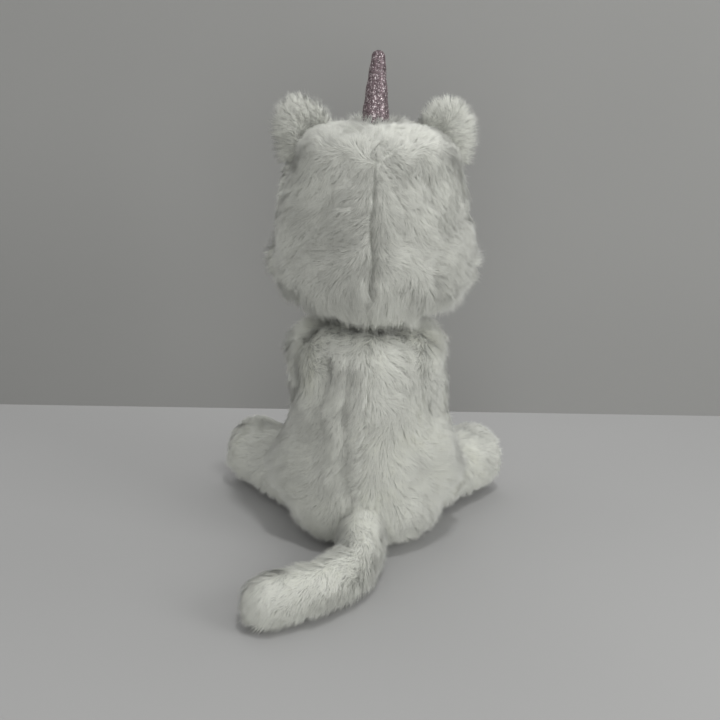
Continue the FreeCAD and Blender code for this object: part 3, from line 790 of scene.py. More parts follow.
def pink_fur():
    """Return the material of the linings and soles."""
    pink = tuple(bpy.context.scene.plush_trim.lining)
    return pile_material("Pink pile", pink, scaled(pink, 1.05), scaled(pink, 0.85), 0.8, 0.35)


def even_pile(point, depth, seed):
    """Return the length of pile on a panel: slightly uneven, and shorter in a crease."""
    return 1.0 + 0.15 * bumps(point, 18 * MM, seed) - min(0.35, depth / (9 * MM))


def crease_shade(normal, depth):
    """Return how much painted shade darkens the pile in a crease of the back."""
    return max(0.0, normal.y) * depth / (6 * MM)


def cloud(point, width, seed):
    """Return a tint from 0, dull, to 1, cream, that drifts over a surface."""
    return clamp(0.5 + 0.55 * bumps(point, width, seed))


def rearward(normal):
    """Return how far a surface faces the back of the toy, from -1 to 1."""
    return clamp(normal.y / 0.3, -1.0)


def turn_about(vector, axis, angle):
    """Turn a vector about an axis."""
    return Matrix.Rotation(angle, 3, axis) @ vector


def swirled(comb, point, normal, swirls):
    """Turn the comb direction where the pile swirls on the back."""
    for x, z, width, turn in swirls:
        share = near(point, x, z, width)
        if normal.y > 0 and share > 0.01:
            comb = turn_about(comb, normal, turn * share)
    return comb


# Creases are (course, depth, width), swells (x, z, width, height), swirls (x, z, width, turn)
# and partings painted in shade (x, z, width). Courses, places and sizes are in millimetres, turns in radians.
HEAD_CREASES = [
    ([(0, 264), (0, 240), (-1, 222)], 1.0, 3.4),
    ([(-1, 222), (0, 200), (1, 172)], 3.2, 3.0),
    ([(46, 262), (57, 236), (61, 214)], 2.6, 3.4),
    ([(61, 214), (53, 192), (43, 172)], 2.4, 3.2),
    ([(-4, 262), (-12, 244), (-19, 216)], 1.6, 4.0),
    ([(-20, 264), (-34, 244), (-40, 216)], 1.6, 4.0),
    ([(-58, 228), (-46, 218), (-38, 206), (-36, 192), (-42, 180)], 2.4, 3.4),
    ([(10, 240), (30, 228), (44, 222)], 1.4, 5.0),
    ([(12, 214), (34, 204), (46, 198)], 1.2, 5.0),
]
HEAD_SWELLS = [
    (-54, 203, 15, 4.0),
    (52, 196, 14, 1.5),
    (24, 240, 17, 1.6),
    (-26, 236, 16, 1.5),
    (28, 192, 15, 1.6),
    (-22, 186, 14, 1.4),
    (35, 267, 13, 3.4),
    (-35, 267, 13, 3.4),
]
RIGHT_CHEEK = (-50, 204, 17)
LEFT_CHEEK = (54, 200, 13)
HEAD_SWIRLS = [(-12, 200, 10, 2.4), (-38, 196, 12, 1.4), (28, 206, 14, -0.8), (24, 250, 12, 0.9)]
TORSO_CREASES = [
    ([(27, 134), (29, 100), (27, 66)], 3.6, 6.0),
    ([(10, 134), (13, 105), (11, 70), (6, 44)], 2.6, 4.0),
    ([(-46, 140), (-47, 90)], 1.8, 4.0),
    ([(47, 140), (45, 96)], 1.4, 4.0),
]
TORSO_SWELLS = [
    (50, 92, 20, -3.0),
    (-50, 92, 22, 1.2),
    (50, 134, 16, 2.4),
    (-52, 134, 16, 2.4),
    (53, 50, 14, 2.5),
    (-53, 50, 14, 2.5),
    (0, 149, 17, 3.4),
    (30, 148, 14, 3.2),
    (-30, 148, 14, 3.2),
]
TORSO_PARTING_SHADE = [(8, 74, 9), (12, 104, 7), (-28, 67, 7), (30, 92, 9), (15, 124, 7)]
HIPS = [(56, 54, 24), (-56, 54, 24)]
TORSO_SWIRLS = [(-28, 70, 13, 2.0), (-14, 111, 7, 1.5), (30, 136, 12, 1.2), (14, 62, 9, -1.2)]


def stuffed_form(nodes, shape, columns=128):
    """Build a stuffed form from the box of its CAD panels, inset by the pile's height."""
    inset, low_inset, high_inset = 3.0 * MM, 2.0 * MM, 1.8 * MM
    boxes = [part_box(node) for node in nodes]
    high = [max(box[1][k] for box in boxes) for k in range(3)]
    low = [min(box[0][k] for box in boxes) for k in range(3)]
    radius = high[0]
    axis_y = high[1] - radius
    waist, low_power, high_power = shape
    middle = low[2] + waist * (high[2] - low[2])
    bottom = low[2] + low_inset
    top = high[2] - high_inset
    profile = full_profile(radius - inset, bottom, middle, top, low_power, high_power)
    rings = turned_rings(profile, columns, (0, axis_y))
    return closed_form(rings, Vector((0, axis_y, bottom)), Vector((0, axis_y, top)))


def limb_axis(pivot, toward):
    """Return the frame of a limb: its pivot, with its own Z toward its end."""
    way = (toward - pivot).normalized()
    return Matrix.Translation(pivot) @ way.to_track_quat("Z", "Y").to_matrix().to_4x4()


def limb_profile(root, end, bend, reach, inset, steps=8):
    """Return a limb's outline: a round root, straight sides and a rounded end."""
    root, end, bend, reach = root - inset, end - inset, bend - inset, reach - inset
    profile = []
    for k in range(1, steps):
        angle = math.pi / 2 * (k / steps - 1)
        profile.append((root * math.cos(angle), root * math.sin(angle)))
    sides = 16
    for k in range(sides + 1):
        share = k / sides
        profile.append((root + (end - root) * share, (reach - bend) * share))
    for k in range(1, steps + 1):
        angle = math.pi / 2 * k / steps
        profile.append((end - bend + bend * math.cos(angle), reach - bend + bend * math.sin(angle)))
    for k in range(1, 4):
        profile.append(((end - bend) * (1 - k / 4), reach))
    return profile


def limb_form(matrix, profile, columns=56):
    """Turn a limb's outline about its own axis and put it in place."""
    lowest = Vector((0, 0, profile[0][1]))
    highest = Vector((0, 0, profile[-1][1]))
    form = closed_form(turned_rings(profile, columns), lowest, highest)
    move_form(form, matrix)
    return form


def clear_of_limbs(point, limbs):
    """Tell whether a point lies outside the roots of all limbs: (frame, radius, reach) each."""
    for inverse, radius, reach in limbs:
        local = inverse @ point
        if -radius < local.z < reach and math.hypot(local.x, local.y) < radius:
            return False
    return True


def hind_leg_frame(side):
    """Return the frame of a hind leg, from its root to its sole."""
    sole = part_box(f"hind_sole_patch_{side}")
    return limb_axis(PIVOTS[f"hind_leg_swing_{side}"], (sole[0] + sole[1]) / 2)


def hind_leg_sizes(side):
    """Return root radius, end radius, bend and reach of a hind leg."""
    low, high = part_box(f"hind_leg_skin_{side}")
    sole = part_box(f"hind_sole_patch_{side}")
    root = (high.z - low.z) / 2
    reach = ((sole[0] + sole[1]) / 2 - PIVOTS[f"hind_leg_swing_{side}"]).length
    return root, root - 1 * MM, 14 * MM, reach - 0.5 * MM


# The cloth of a hind leg bears no pile this near to the toy's axis, where it is hidden.
HIDDEN_RADIUS = 42 * MM
# The short pink pile of the ear linings and the soles.
PINK_PILE = {
    "slot": "pink_plush",
    "thickness": 0.16 * MM,
    "lean": math.radians(45),
    "lock_size": 1.6 * MM,
    "strands_per_area": 5.5e6,
}
# Where a left foreleg's paw rests, and a foreleg's root radius, end radius, bend and reach.
FORELEG_PAW = Vector((19, -72, 18)) * MM
FORELEG_SIZES = (15 * MM, 17 * MM, 15 * MM, 107.5 * MM)


def foreleg_frame(side):
    """Return the frame of a foreleg, from its root to its paw."""
    paw = Vector((SIDES[side] * FORELEG_PAW.x, FORELEG_PAW.y, FORELEG_PAW.z))
    return limb_axis(PIVOTS[f"foreleg_lift_{side}"], paw)


# The tail's middle line over the floor in millimetres, its height and its radius.
TAIL_COURSE = [(1, 70), (9, 97), (31, 118), (54, 129)]
TAIL_REST = 15.8 * MM
TAIL_RADIUS = 15.2 * MM


def tail_course():
    """Return the middle line of the tail as evenly rounded points."""
    points = [PIVOTS["tail_swing"]]
    points += [Vector((x * MM, y * MM, TAIL_REST)) for x, y in TAIL_COURSE]
    for _ in range(3):
        rounded = [points[0]]
        for a, b in zip(points, points[1:]):
            rounded += [a.lerp(b, 0.25), a.lerp(b, 0.75)]
        points = rounded + [points[-1]]
    return points


def limb_rooms():
    """Return the roots that the torso's cloth is cut away for."""
    rooms = []
    for side in SIDES:
        rooms.append((hind_leg_frame(side).inverted(), 17 * MM, 60 * MM))
        rooms.append((foreleg_frame(side).inverted(), 9 * MM, 40 * MM))
    course = tail_course()
    rooms.append((limb_axis(course[0], course[6]).inverted(), 10 * MM, 20 * MM))
    return rooms


class PLUSH_OT_torso(Operator):
    """Make the seat, belly and back panels of the torso"""

    bl_idname = "plush.torso"
    bl_label = "Torso panels"

    def execute(self, context):
        nodes = ["seat_panel", "belly_panel", "back_panel_left", "back_panel_right"]
        form = stuffed_form(nodes, TORSO_SHAPE)
        press(form, 2.2 * MM, 21 * MM, 3, TORSO_CREASES, TORSO_SWELLS)
        rest_above(form, FLOOR_GAP)
        seam(form, (0, 0, 0), (1, 0, 0))
        seam(form, (0, BELLY_LINE, 0), (0, 1, 0))
        rooms = limb_rooms()
        seat_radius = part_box("seat_panel")[1].x

        def groom(point, normal):
            depth = crease_at(point, normal, TORSO_CREASES)
            comb = Vector((0.25 * point.x / (30 * MM), 0.2 * rearward(normal), -1))
            # The pile turns outward under the head, in uneven tufts, and again by the seat.
            outward = Vector((point.x, point.y, 0)).normalized()
            if point.z > NECKLINE:
                comb += outward * 1.6
                comb = turn_about(comb, normal, 0.9 * bumps(point, 12 * MM, 72))
            if point.z < SEAT_LINE:
                comb += outward * 0.9
            comb = swirled(comb, point, normal, TORSO_SWIRLS)
            pile = even_pile(point, depth, 5)
            lay = 1.0
            # It stands out long at the hips and the shoulders.
            at_hip = near_any(point, HIPS)
            comb.x += 3.2 * at_hip * (1 if point.x > 0 else -1)
            comb.z += 0.9 * at_hip
            pile += 0.8 * at_hip
            lay -= (0.3 + 0.4 * abs(normal.x)) * at_hip
            shoulder = clamp((point.z - SHOULDER_LINE) / (18 * MM))
            pile += 0.3 * shoulder
            lay -= 0.1 * shoulder
            if normal.z > 0.5:
                lay = 0.8
                pile = 1.3
            if point.z < SEAT_TOP / 2 and normal.z < -0.7:
                pile = 0.3
            # Creases and partings of the back get painted shade, darker than the pile round them.
            tint = cloud(point, 30 * MM, 8) - crease_shade(normal, depth)
            if normal.y > 0:
                tint -= 0.8 * near_any(point, TORSO_PARTING_SHADE)
            tint += 0.25 * bumps(point, 9 * MM, 74)
            return comb, pile, lay, clamp(tint, -0.4)

        def in_seat(centre):
            return centre.z < SEAT_TOP and math.hypot(centre.x, centre.y) < seat_radius

        def keeps(test):
            return lambda centre: test(centre) and clear_of_limbs(centre, rooms)

        def in_front(centre):
            return not in_seat(centre) and centre.y < BELLY_LINE

        def behind(centre):
            return not in_seat(centre) and centre.y > BELLY_LINE

        panels = [
            ("seat_panel", keeps(in_seat), BELLY_STRANDS),
            ("belly_panel", keeps(in_front), BELLY_STRANDS),
            ("back_panel_left", keeps(lambda c: behind(c) and c.x > 0), BACK_STRANDS),
            ("back_panel_right", keeps(lambda c: behind(c) and c.x < 0), BACK_STRANDS),
        ]
        grow_panels(form, panels, groom)
        return {"FINISHED"}


class PLUSH_OT_head(Operator):
    """Make the face and the two back panels of the head, and the cheek tufts"""

    bl_idname = "plush.head"
    bl_label = "Head panels and cheeks"

    def execute(self, context):
        nodes = ["face_panel", "head_back_panel_left", "head_back_panel_right"]
        form = stuffed_form(nodes, HEAD_SHAPE)
        press(form, 2.3 * MM, 20 * MM, 1, HEAD_CREASES, HEAD_SWELLS)
        seam(form, (0, 0, 0), (1, 0, 0))
        seam(form, (0, FACE_LINE, 0), (0, 1, 0))
        horn = PIVOTS["horn_flex"]
        horn_low, horn_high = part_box("horn_sleeve")
        horn_radius = (horn_high.x - horn_low.x) / 2
        neck = PIVOTS["head_nod"]
        muzzle_low, muzzle_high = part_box("muzzle")
        muzzle = (muzzle_low + muzzle_high) / 2
        eyes = [sum(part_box(f"eye_{side}"), Vector()) / 2 for side in SIDES]

        def groom(point, normal):
            depth = crease_at(point, normal, HEAD_CREASES)
            front = clamp((FACE_LINE - point.y) / (24 * MM))
            from_nose = (point - muzzle).normalized()
            crown = clamp((normal.z - 0.4) / 0.45)
            # Over the crown the pile is combed forward, with an uneven, tufted edge.
            forward = crown + 0.5 * bumps(point, 9 * MM, 71) > 0.5
            over = Vector((0.5 * point.x / (30 * MM), -0.9 if forward else 0.9, -0.25))
            down = Vector((0.35 * point.x / (30 * MM), 0.2 * rearward(normal), -1))
            if point.x > 0 and point.y > FACE_LINE:
                down += Vector((0.75, 0, 0.25))
            round_nose = front * max(0.0, 1 - (point - muzzle).length / NOSE_REACH)
            comb = over if forward else down.lerp(over, crown)
            comb = comb.lerp(from_nose, min(1.0, 2 * round_nose))
            comb = swirled(comb, point, normal, HEAD_SWIRLS)
            # It is shorter in front, over the crown and round the eyes and muzzle.
            pile = even_pile(point, depth, 6)
            pile -= 0.25 * front + 0.1 * crown + 0.2 * crown * front
            lay = 1.0 - 0.3 * max(0.0, 1 - abs(2 * crown - 1))
            for eye in eyes:
                away = (point - eye).length
                if away < EYE_CLEAR:
                    pile *= 0.32 + 0.68 * max(0.0, (away - EYE_EDGE) / EYE_FADE)
                    lay = 1.1
            if point.y < horn.y + horn_radius and (point - muzzle).length < MUZZLE_REACH:
                pile *= 0.5
            # It hangs long round the lower rim of the head, and is short right under it.
            rim = clamp((-normal.z - 0.05) / 0.4)
            under = clamp((-normal.z - 0.75) / 0.2)
            comb.x *= 1 - rim
            pile *= 1 + 0.65 * rim - 0.8 * under
            at_horn = math.hypot(point.x - horn.x, point.y - horn.y) - horn_radius
            if normal.z > 0.5 and at_horn < 4 * MM:
                comb = Vector((point.x, point.y - horn.y, 0)).normalized()
                lay = 0.3
                pile *= 0.8
            # It stands out in tufts round the cheeks.
            at_cheek = near(point, *RIGHT_CHEEK) + 0.6 * near(point, *LEFT_CHEEK)
            if point.y > -20 * MM:
                comb.x += 2.0 * at_cheek * (1 if point.x > 0 else -1)
                comb = turn_about(comb, normal, 1.2 * at_cheek * bumps(point, 9 * MM, 70))
                pile += 0.25 * at_cheek
                lay -= 0.3 * at_cheek
            # Painted shade: the pile is painted greyer in the creases, on the side facing the back and a little
            # over the crown.
            dull = crease_shade(normal, depth)
            tint = cloud(point, 30 * MM, 9) - 0.55 * max(0.0, normal.y) - 0.1 * crown - dull
            tint += 0.3 * bumps(point, 9 * MM, 73)
            return comb, pile, lay, clamp(tint, -0.3)

        def keeps(test):
            return lambda centre: test(centre) and not (
                centre.z < NECK_HOLE_TOP
                and math.hypot(centre.x - neck.x, centre.y - neck.y) < NECK_HOLE_RADIUS
                or centre.z > HORN_HOLE_LOW
                and math.hypot(centre.x - horn.x, centre.y - horn.y) < horn_radius - 1 * MM
            )

        panels = [
            ("face_panel", keeps(lambda c: c.y < FACE_LINE), FACE_STRANDS),
            ("head_back_panel_left", keeps(lambda c: c.y > FACE_LINE and c.x > 0), HEAD_BACK_STRANDS),
            ("head_back_panel_right", keeps(lambda c: c.y > FACE_LINE and c.x < 0), HEAD_BACK_STRANDS),
        ]
        grow_panels(form, panels, groom)
        for side, sign in SIDES.items():
            self.cheek(side, sign)
        return {"FINISHED"}

    def cheek(self, side, sign):
        """Make one cheek tuft on the side of the head."""
        low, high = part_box(f"cheek_tuft_{side}")
        rise = (high.z - low.z) / 2 - 6 * MM
        middle = Vector((sign * 51, -10, 0)) * MM
        middle.z = (low.z + high.z) / 2
        rings = turned_rings(oval_profile(CHEEK_WIDTHS[side], rise, 20), 40)
        form = closed_form(rings, Vector((0, 0, -rise)), Vector((0, 0, rise)))
        bmesh.ops.translate(form, vec=middle, verts=form.verts[:])
        form.normal_update()
        press(form, 1.0 * MM, 12 * MM, 14 + sign)

        def groom(point, normal):
            comb = Vector((sign * 0.8, 0.75, -0.55))
            comb = turn_about(comb, normal, 1.3 * bumps(point, 9 * MM, 15 + sign))
            pile = 1.15 if sign * normal.x > -0.2 else 0.4
            return comb, pile, 0.72, cloud(point, 20 * MM, 10)

        grow_form(
            f"cheek_tuft_plush_{side}",
            form,
            groom,
            f"cheek_tuft_{side}",
            long_fur(),
            keep=lambda c: sign * c.x > 40 * MM,
            lock_size=6 * MM,
            lock_turn=0.9,
        )


class PLUSH_OT_neck(Operator):
    """Make the stuffed throat between torso and head"""

    bl_idname = "plush.neck"
    bl_label = "Neck throat"

    def execute(self, context):
        low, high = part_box("neck_throat")
        radius = (high.x - low.x) / 2 - 4 * MM
        middle = PIVOTS["head_nod"]
        profile = []
        for k in range(1, 20):
            angle = math.pi * (k / 20 - 0.5)
            height = max(middle.z + (radius + 4 * MM) * math.sin(angle), low.z + 1 * MM)
            profile.append((radius * math.cos(angle) ** 0.6, height))
        rings = turned_rings(profile, 48, (middle.x, middle.y))
        foot = Vector((middle.x, middle.y, profile[0][1]))
        crown = Vector((middle.x, middle.y, profile[-1][1]))
        form = closed_form(rings, foot, crown)

        def groom(point, normal):
            return Vector((0, 0, -1)) + normal * 0.2, 1.0, 0.7, 0.4

        grow_form(
            "neck_throat_plush",
            form,
            groom,
            "neck_throat",
            short_fur(),
            slot="short_plush",
            length=5 * MM,
            lock_size=3 * MM,
            strands_per_area=9e5,
            lowest_height=low.z + 0.3 * MM,
        )
        return {"FINISHED"}


class PLUSH_OT_ears(Operator):
    """Make both ears, each a cupped fur blade with a pink lining"""

    bl_idname = "plush.ears"
    bl_label = "Ears"

    def execute(self, context):
        for side, sign in SIDES.items():
            self.ear(side, sign)
        return {"FINISHED"}

    def ear(self, side, sign):
        """Make the blade and the lining of one ear."""
        tilt = Matrix.Rotation(EAR_TILTS[side], 4, "Y")
        place = Matrix.Translation(PIVOTS[f"ear_fold_{side}"]) @ tilt
        inverse = place.inverted()
        wide, deep, tall = 16.5 * MM, 8 * MM, 27.5 * MM
        cup_wide, cup_deep, cup_tall, cup_rise = 12.5 * MM, 7 * MM, 18 * MM, 7.5 * MM
        dent = Vector((-sign * 6 * MM, 0, 3 * MM))
        foot_rise = -4 * MM

        def cup(x, z):
            """Return how deep the front hollow is at a place on the blade."""
            inside = 1 - (x / cup_wide) ** 2 - ((z - cup_rise) / cup_tall) ** 2
            return cup_deep * math.sqrt(inside) if inside > 0 else 0.0

        rings = []
        for k in range(26):
            share = k / 26
            z = foot_rise + (tall - foot_rise) * math.sin(math.pi / 2 * share)
            width = wide * (1 - (max(z, 0) / tall) ** 2.3) ** 0.5
            depth = deep * (1 - (max(z, 0) / tall) ** 2.5) ** 0.5
            ring = []
            for turn in circle(60):
                x = width * math.cos(turn)
                y = depth * math.sin(turn)
                if y < 0:
                    y += cup(x, z) * 1.35
                else:
                    away = math.hypot(x - dent.x, (z - dent.z) * 0.7)
                    y -= 5.5 * MM * math.exp(-((away / (7.5 * MM)) ** 2))
                ring.append(Vector((x, max(y, -depth), z)))
            rings.append(ring)
        foot = Vector((0, 0, foot_rise))
        crown = Vector((0, 0.5 * MM, tall))
        form = closed_form(rings, foot, crown)
        move_form(form, place)
        press(form, 0.6 * MM, 12 * MM, 20 + sign)

        def groom(point, normal):
            local = inverse @ point
            facing = (place.to_3x3().inverted() @ normal).y
            away = Vector((local.x - dent.x, 0, local.z - dent.z + 6 * MM))
            rim = min(1.0, (away.x / wide) ** 2 + (away.z / tall) ** 2)
            comb = place.to_3x3() @ (away.normalized() + Vector((0, 0.1, 0.15)))
            inside = facing < -0.25 and cup(local.x, local.z) > 0
            if inside:
                return comb, 0.0, 1.0, 0.3
            pile = 0.55 + 0.2 * rim
            # Painted shade: the ear's pile is painted grey, darkest in the fold at its inner base.
            shade = math.exp(-((away.length / (13 * MM)) ** 2))
            tint = 0.05 - 0.4 * shade + 0.15 * bumps(point, 14 * MM, 12)
            return comb, pile, 1.02 - 0.5 * rim, max(-0.4, tint)

        grow_form(
            f"ear_back_plush_{side}",
            form,
            groom,
            f"ear_back_{side}",
            long_fur(),
            fill=0.4,
            lock_size=2.7 * MM,
            lock_turn=0.5,
            strands_per_area=3.4e6,
        )

        lining = bmesh.new()
        centre = lining.verts.new((0, cup(0, cup_rise) * 0.95 - deep, cup_rise))
        rows = []
        for ring in range(1, 9):
            share = ring / 9
            row = []
            for turn in circle(40):
                x = cup_wide * share * math.cos(turn)
                z = cup_rise + cup_tall * share * math.sin(turn)
                row.append(lining.verts.new((x, cup(x, z) * 1.3 - deep * 0.95, z)))
            rows.append(row)
        disc_faces(lining, centre, rows)
        move_form(lining, place)

        def lay_lining(point, normal):
            return place.to_3x3() @ Vector((0, 0, 1)), 1.0, 1.0, 0.5

        grow_form(
            f"ear_lining_plush_{side}",
            lining,
            lay_lining,
            f"ear_lining_{side}",
            pink_fur(),
            fill=0.3,
            length=2.2 * MM,
            **PINK_PILE,
        )


class PLUSH_OT_hind_legs(Operator):
    """Make both hind legs and their sole patches"""

    bl_idname = "plush.hind_legs"
    bl_label = "Hind legs"

    def execute(self, context):
        for side, sign in SIDES.items():
            place = hind_leg_frame(side)
            root, end, bend, reach = hind_leg_sizes(side)
            form = limb_form(place, limb_profile(root, end, bend, reach, 2.6 * MM))
            press(form, 1.5 * MM, 20 * MM, 30 + sign)
            rest_above(form, FLOOR_GAP)
            inverse = place.inverted()
            way = place.to_3x3() @ Vector((0, 0, 1))
            patch_radius = end - bend

            def groom(point, normal):
                local = inverse @ point
                comb = way + Vector((0, 0.3 * rearward(normal), -0.75))
                comb = turn_about(comb, normal, 0.9 * bumps(point, 22 * MM, 33 + sign))
                pile = 0.9 + 0.15 * bumps(point, 16 * MM, 34)
                # The pile stands up long on top of the thigh, where it meets the torso.
                at_hip = max(0.0, normal.z) * clamp(1.5 - local.z / (24 * MM))
                pile += 0.6 * at_hip
                lay = 0.97 - 0.25 * at_hip
                # The sole's patch takes the middle of the end, with a rim of pile round it.
                on_end = local.z > reach - 9 * MM
                if on_end and math.hypot(local.x, local.y) < patch_radius - 1 * MM:
                    pile = 0.0
                elif on_end:
                    comb = normal + (point - place @ Vector((0, 0, local.z))).normalized()
                    pile = 0.6
                if normal.z < -0.8:
                    pile *= 0.45
                if math.hypot(point.x, point.y) < HIDDEN_RADIUS:
                    pile = 0.0
                return comb, pile, lay, cloud(point, 26 * MM, 35)

            grow_form(
                f"hind_leg_plush_{side}",
                form,
                groom,
                f"hind_leg_skin_{side}",
                long_fur(),
                lock_size=5 * MM,
                strands_per_area=2.0e6,
            )
            self.sole(side, place, patch_radius, reach)
        return {"FINISHED"}

    def sole(self, side, place, radius, reach):
        """Make one crowned pink sole patch."""
        profile = []
        for k in range(1, 7):
            profile.append((radius * k / 6 * 0.96, reach - 4.6 * MM))
        for k in range(10):
            angle = math.pi / 2 * k / 10
            rise = reach - 4.2 * MM + 3.6 * MM * math.sin(angle)
            profile.append((radius * math.cos(angle) ** 0.7, rise))
        lowest = Vector((0, 0, reach - 4.6 * MM))
        highest = Vector((0, 0, reach - 0.55 * MM))
        form = closed_form(turned_rings(profile, 40), lowest, highest)
        move_form(form, place)
        way = place.to_3x3() @ Vector((0, 0, 1))

        def groom(point, normal):
            return Vector((0, 0, 1)), 1.0 if normal.dot(way) > -0.5 else 0.0, 1.0, 0.5

        grow_form(
            f"hind_sole_plush_{side}",
            form,
            groom,
            f"hind_sole_patch_{side}",
            pink_fur(),
            fill=0.5,
            length=1.8 * MM,
            **PINK_PILE,
        )


class PLUSH_OT_forelegs(Operator):
    """Make both forelegs"""

    bl_idname = "plush.forelegs"
    bl_label = "Forelegs"

    def execute(self, context):
        for side, sign in SIDES.items():
            place = foreleg_frame(side)
            form = limb_form(place, limb_profile(*FORELEG_SIZES, 2.8 * MM))
            press(form, 1.2 * MM, 20 * MM, 40 + sign)
            rest_above(form, PAW_GAP)
            way = place.to_3x3() @ Vector((0, 0, 1))

            def groom(point, normal):
                comb = way + Vector((0, -0.1, 0))
                comb = turn_about(comb, normal, 0.7 * bumps(point, 20 * MM, 43 + sign))
                pile = 0.8 + 0.12 * bumps(point, 16 * MM, 44)
                if normal.z < -0.8:
                    pile = 0.35
                return comb, pile, 1.0, cloud(point, 26 * MM, 45)

            grow_form(
                f"foreleg_plush_{side}",
                form,
                groom,
                f"foreleg_skin_{side}",
                long_fur(),
                strands_per_area=1.5e6,
            )
        return {"FINISHED"}


class PLUSH_OT_tail(Operator):
    """Make the tail"""

    bl_idname = "plush.tail"
    bl_label = "Tail"

    def execute(self, context):
        course = tail_course()
        radius = TAIL_RADIUS - 2.2 * MM
        ways = [(b - a).normalized() for a, b in zip(course, course[1:])]
        ways = [ways[0]] + [(a + b).normalized() for a, b in zip(ways, ways[1:])] + [ways[-1]]
        stations = []
        for k in range(1, 7):
            angle = math.pi / 2 * (k / 7 - 1)
            shift = ways[0] * radius * math.sin(angle)
            stations.append((course[0] + shift, ways[0], radius * math.cos(angle)))
        stations += [(at, way, radius) for at, way in zip(course, ways)]
        for k in range(1, 9):
            angle = math.pi / 2 * k / 9
            shift = ways[-1] * radius * math.sin(angle)
            stations.append((course[-1] + shift, ways[-1], radius * math.cos(angle)))
        rings = []
        for at, way, ring_radius in stations:
            across = way.cross(Vector((0, 0, 1))).normalized()
            over = across.cross(way)
            ring = []
            for turn in circle(48):
                offset = across * math.cos(turn) + over * math.sin(turn)
                ring.append(at + offset * ring_radius)
            rings.append(ring)
        start = course[0] - ways[0] * radius
        end = course[-1] + ways[-1] * radius
        form = closed_form(rings, start, end)
        press(form, 1.1 * MM, 20 * MM, 50)
        rest_above(form, FLOOR_GAP)

        def groom(point, normal):
            nearest = min(range(len(course)), key=lambda k: (course[k] - point).length)
            way = ways[nearest]
            comb = way + Vector((0, 0.4 * rearward(normal), -0.55))
            # On its front side the pile is combed forward, with a tufted edge.
            if normal.y + 0.15 * bumps(point, 7 * MM, 75) < -0.12 and normal.z > -0.3:
                comb.y = -0.25
            comb = turn_about(comb, normal, 0.5 * bumps(point, 20 * MM, 53))
            pile = 0.86 + 0.12 * bumps(point, 14 * MM, 54)
            lay = 1.1 if normal.z > 0.3 else 0.92
            if normal.z < -0.8:
                pile *= 0.4
            # Painted light: the pile on the tail's top is painted paler, except near its end.
            tip = min(1.0, (point - end).length / (34 * MM))
            tint = 0.4 + 0.3 * tip * max(0.0, normal.z) + 0.15 * bumps(point, 24 * MM, 55)
            return comb, pile, lay, clamp(tint)

        grow_form(
            "tail_plush",
            form,
            groom,
            "tail_skin",
            long_fur(),
            lock_size=2.6 * MM,
            lock_turn=0.3,
            strands_per_area=2.7e6,
        )
        return {"FINISHED"}


def glitter_cloth():
    """Make the horn's cloth: a dusty ground, and flecks that each catch the light their way."""
    trim = bpy.context.scene.plush_trim
    material, w, surface = shader("Glitter cloth")
    place = w.place()
    flecks = w.cells(place, 1 / trim.fleck)
    chance = w.split(flecks["Color"])
    ground = tuple(trim.horn)
    bright = ramp(
        w,
        chance[0],
        (0.0, scaled(ground, 0.45)),
        (0.5, ground),
        (0.86, scaled(ground, 1.35)),
        (0.95, (0.86, 0.78, 0.79)),
    )
    fold = w.noise(place, 130.0, 2.0)
    rough = w.node("ShaderNodeMapRange", {0: chance[1], 3: 0.18, 4: 0.65}).outputs[0]
    metal = w.times(w.math("GREATER_THAN", chance[2], 0.45), 0.75)
    height = w.plus(chance[1], w.times(fold, 0.6))
    facets = w.relief(height, 0.6, 0.3 * MM)
    looks = {"Base Color": bright, "Roughness": rough, "Metallic": metal, "Normal": facets}
    w.fill(surface, looks)
    return material


def flock(name, colour):
    """Make a flocked finish: fine even fuzz with a soft sheen."""
    material, w, surface = shader(name)
    fuzz = w.noise(w.place(), 2600.0, 3.0)
    tone = ramp(w, fuzz, (0.25, scaled(colour, 0.72)), (0.75, scaled(colour, 1.12)))
    fibres = w.relief(fuzz, 0.7, 0.25 * MM)
    looks = {"Base Color": tone, "Normal": fibres, "Roughness": 0.9, "Sheen Weight": 0.5}
    w.fill(surface, looks)
    return material


def plain_finish(name, colour, scale, roughness, relief):
    """Make a finish for an inner piece: a colour with grain and relief of one scale."""
    material, w, surface = shader(name)
    grain = w.noise(w.place(), scale, 5.0)
    tone = ramp(w, grain, (0.3, scaled(colour, 0.84)), (0.7, colour))
    bump = w.relief(grain, 0.5, relief)
    w.fill(surface, {"Base Color": tone, "Normal": bump, "Roughness": roughness})
    return material


def pellet_finish():
    """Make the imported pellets: round grains side by side."""
    material, w, surface = shader("Packed pellets")
    grains = w.cells(w.place(), 330.0)
    # Painted shade: each grain is painted darker towards its edge, where it meets its neighbours.
    tone = ramp(w, grains["Distance"], (0.1, (0.86, 0.86, 0.84)), (0.75, (0.45, 0.45, 0.43)))
    bump = w.relief(w.minus(1.0, grains["Distance"]), 0.9, 1.2 * MM)
    w.fill(surface, {"Base Color": tone, "Normal": bump, "Roughness": 0.45})
    return material


def pouch_weave():
    """Make the pouch's plain cotton weave."""
    material, w, surface = shader("Pouch cotton")
    place = w.split(w.place())
    pitch = 2 * math.pi / (0.9 * MM)
    warp = w.sine(w.times(place[0], pitch))
    weft = w.sine(w.times(place[1], pitch))
    weave = w.times(warp, weft)
    share = w.plus(w.times(weave, 0.5), 0.5)
    tone = ramp(w, share, (0.0, (0.66, 0.63, 0.55)), (1.0, (0.84, 0.81, 0.73)))
    bump = w.relief(weave, 0.6, 0.2 * MM)
    w.fill(surface, {"Base Color": tone, "Normal": bump, "Roughness": 0.9})
    return material


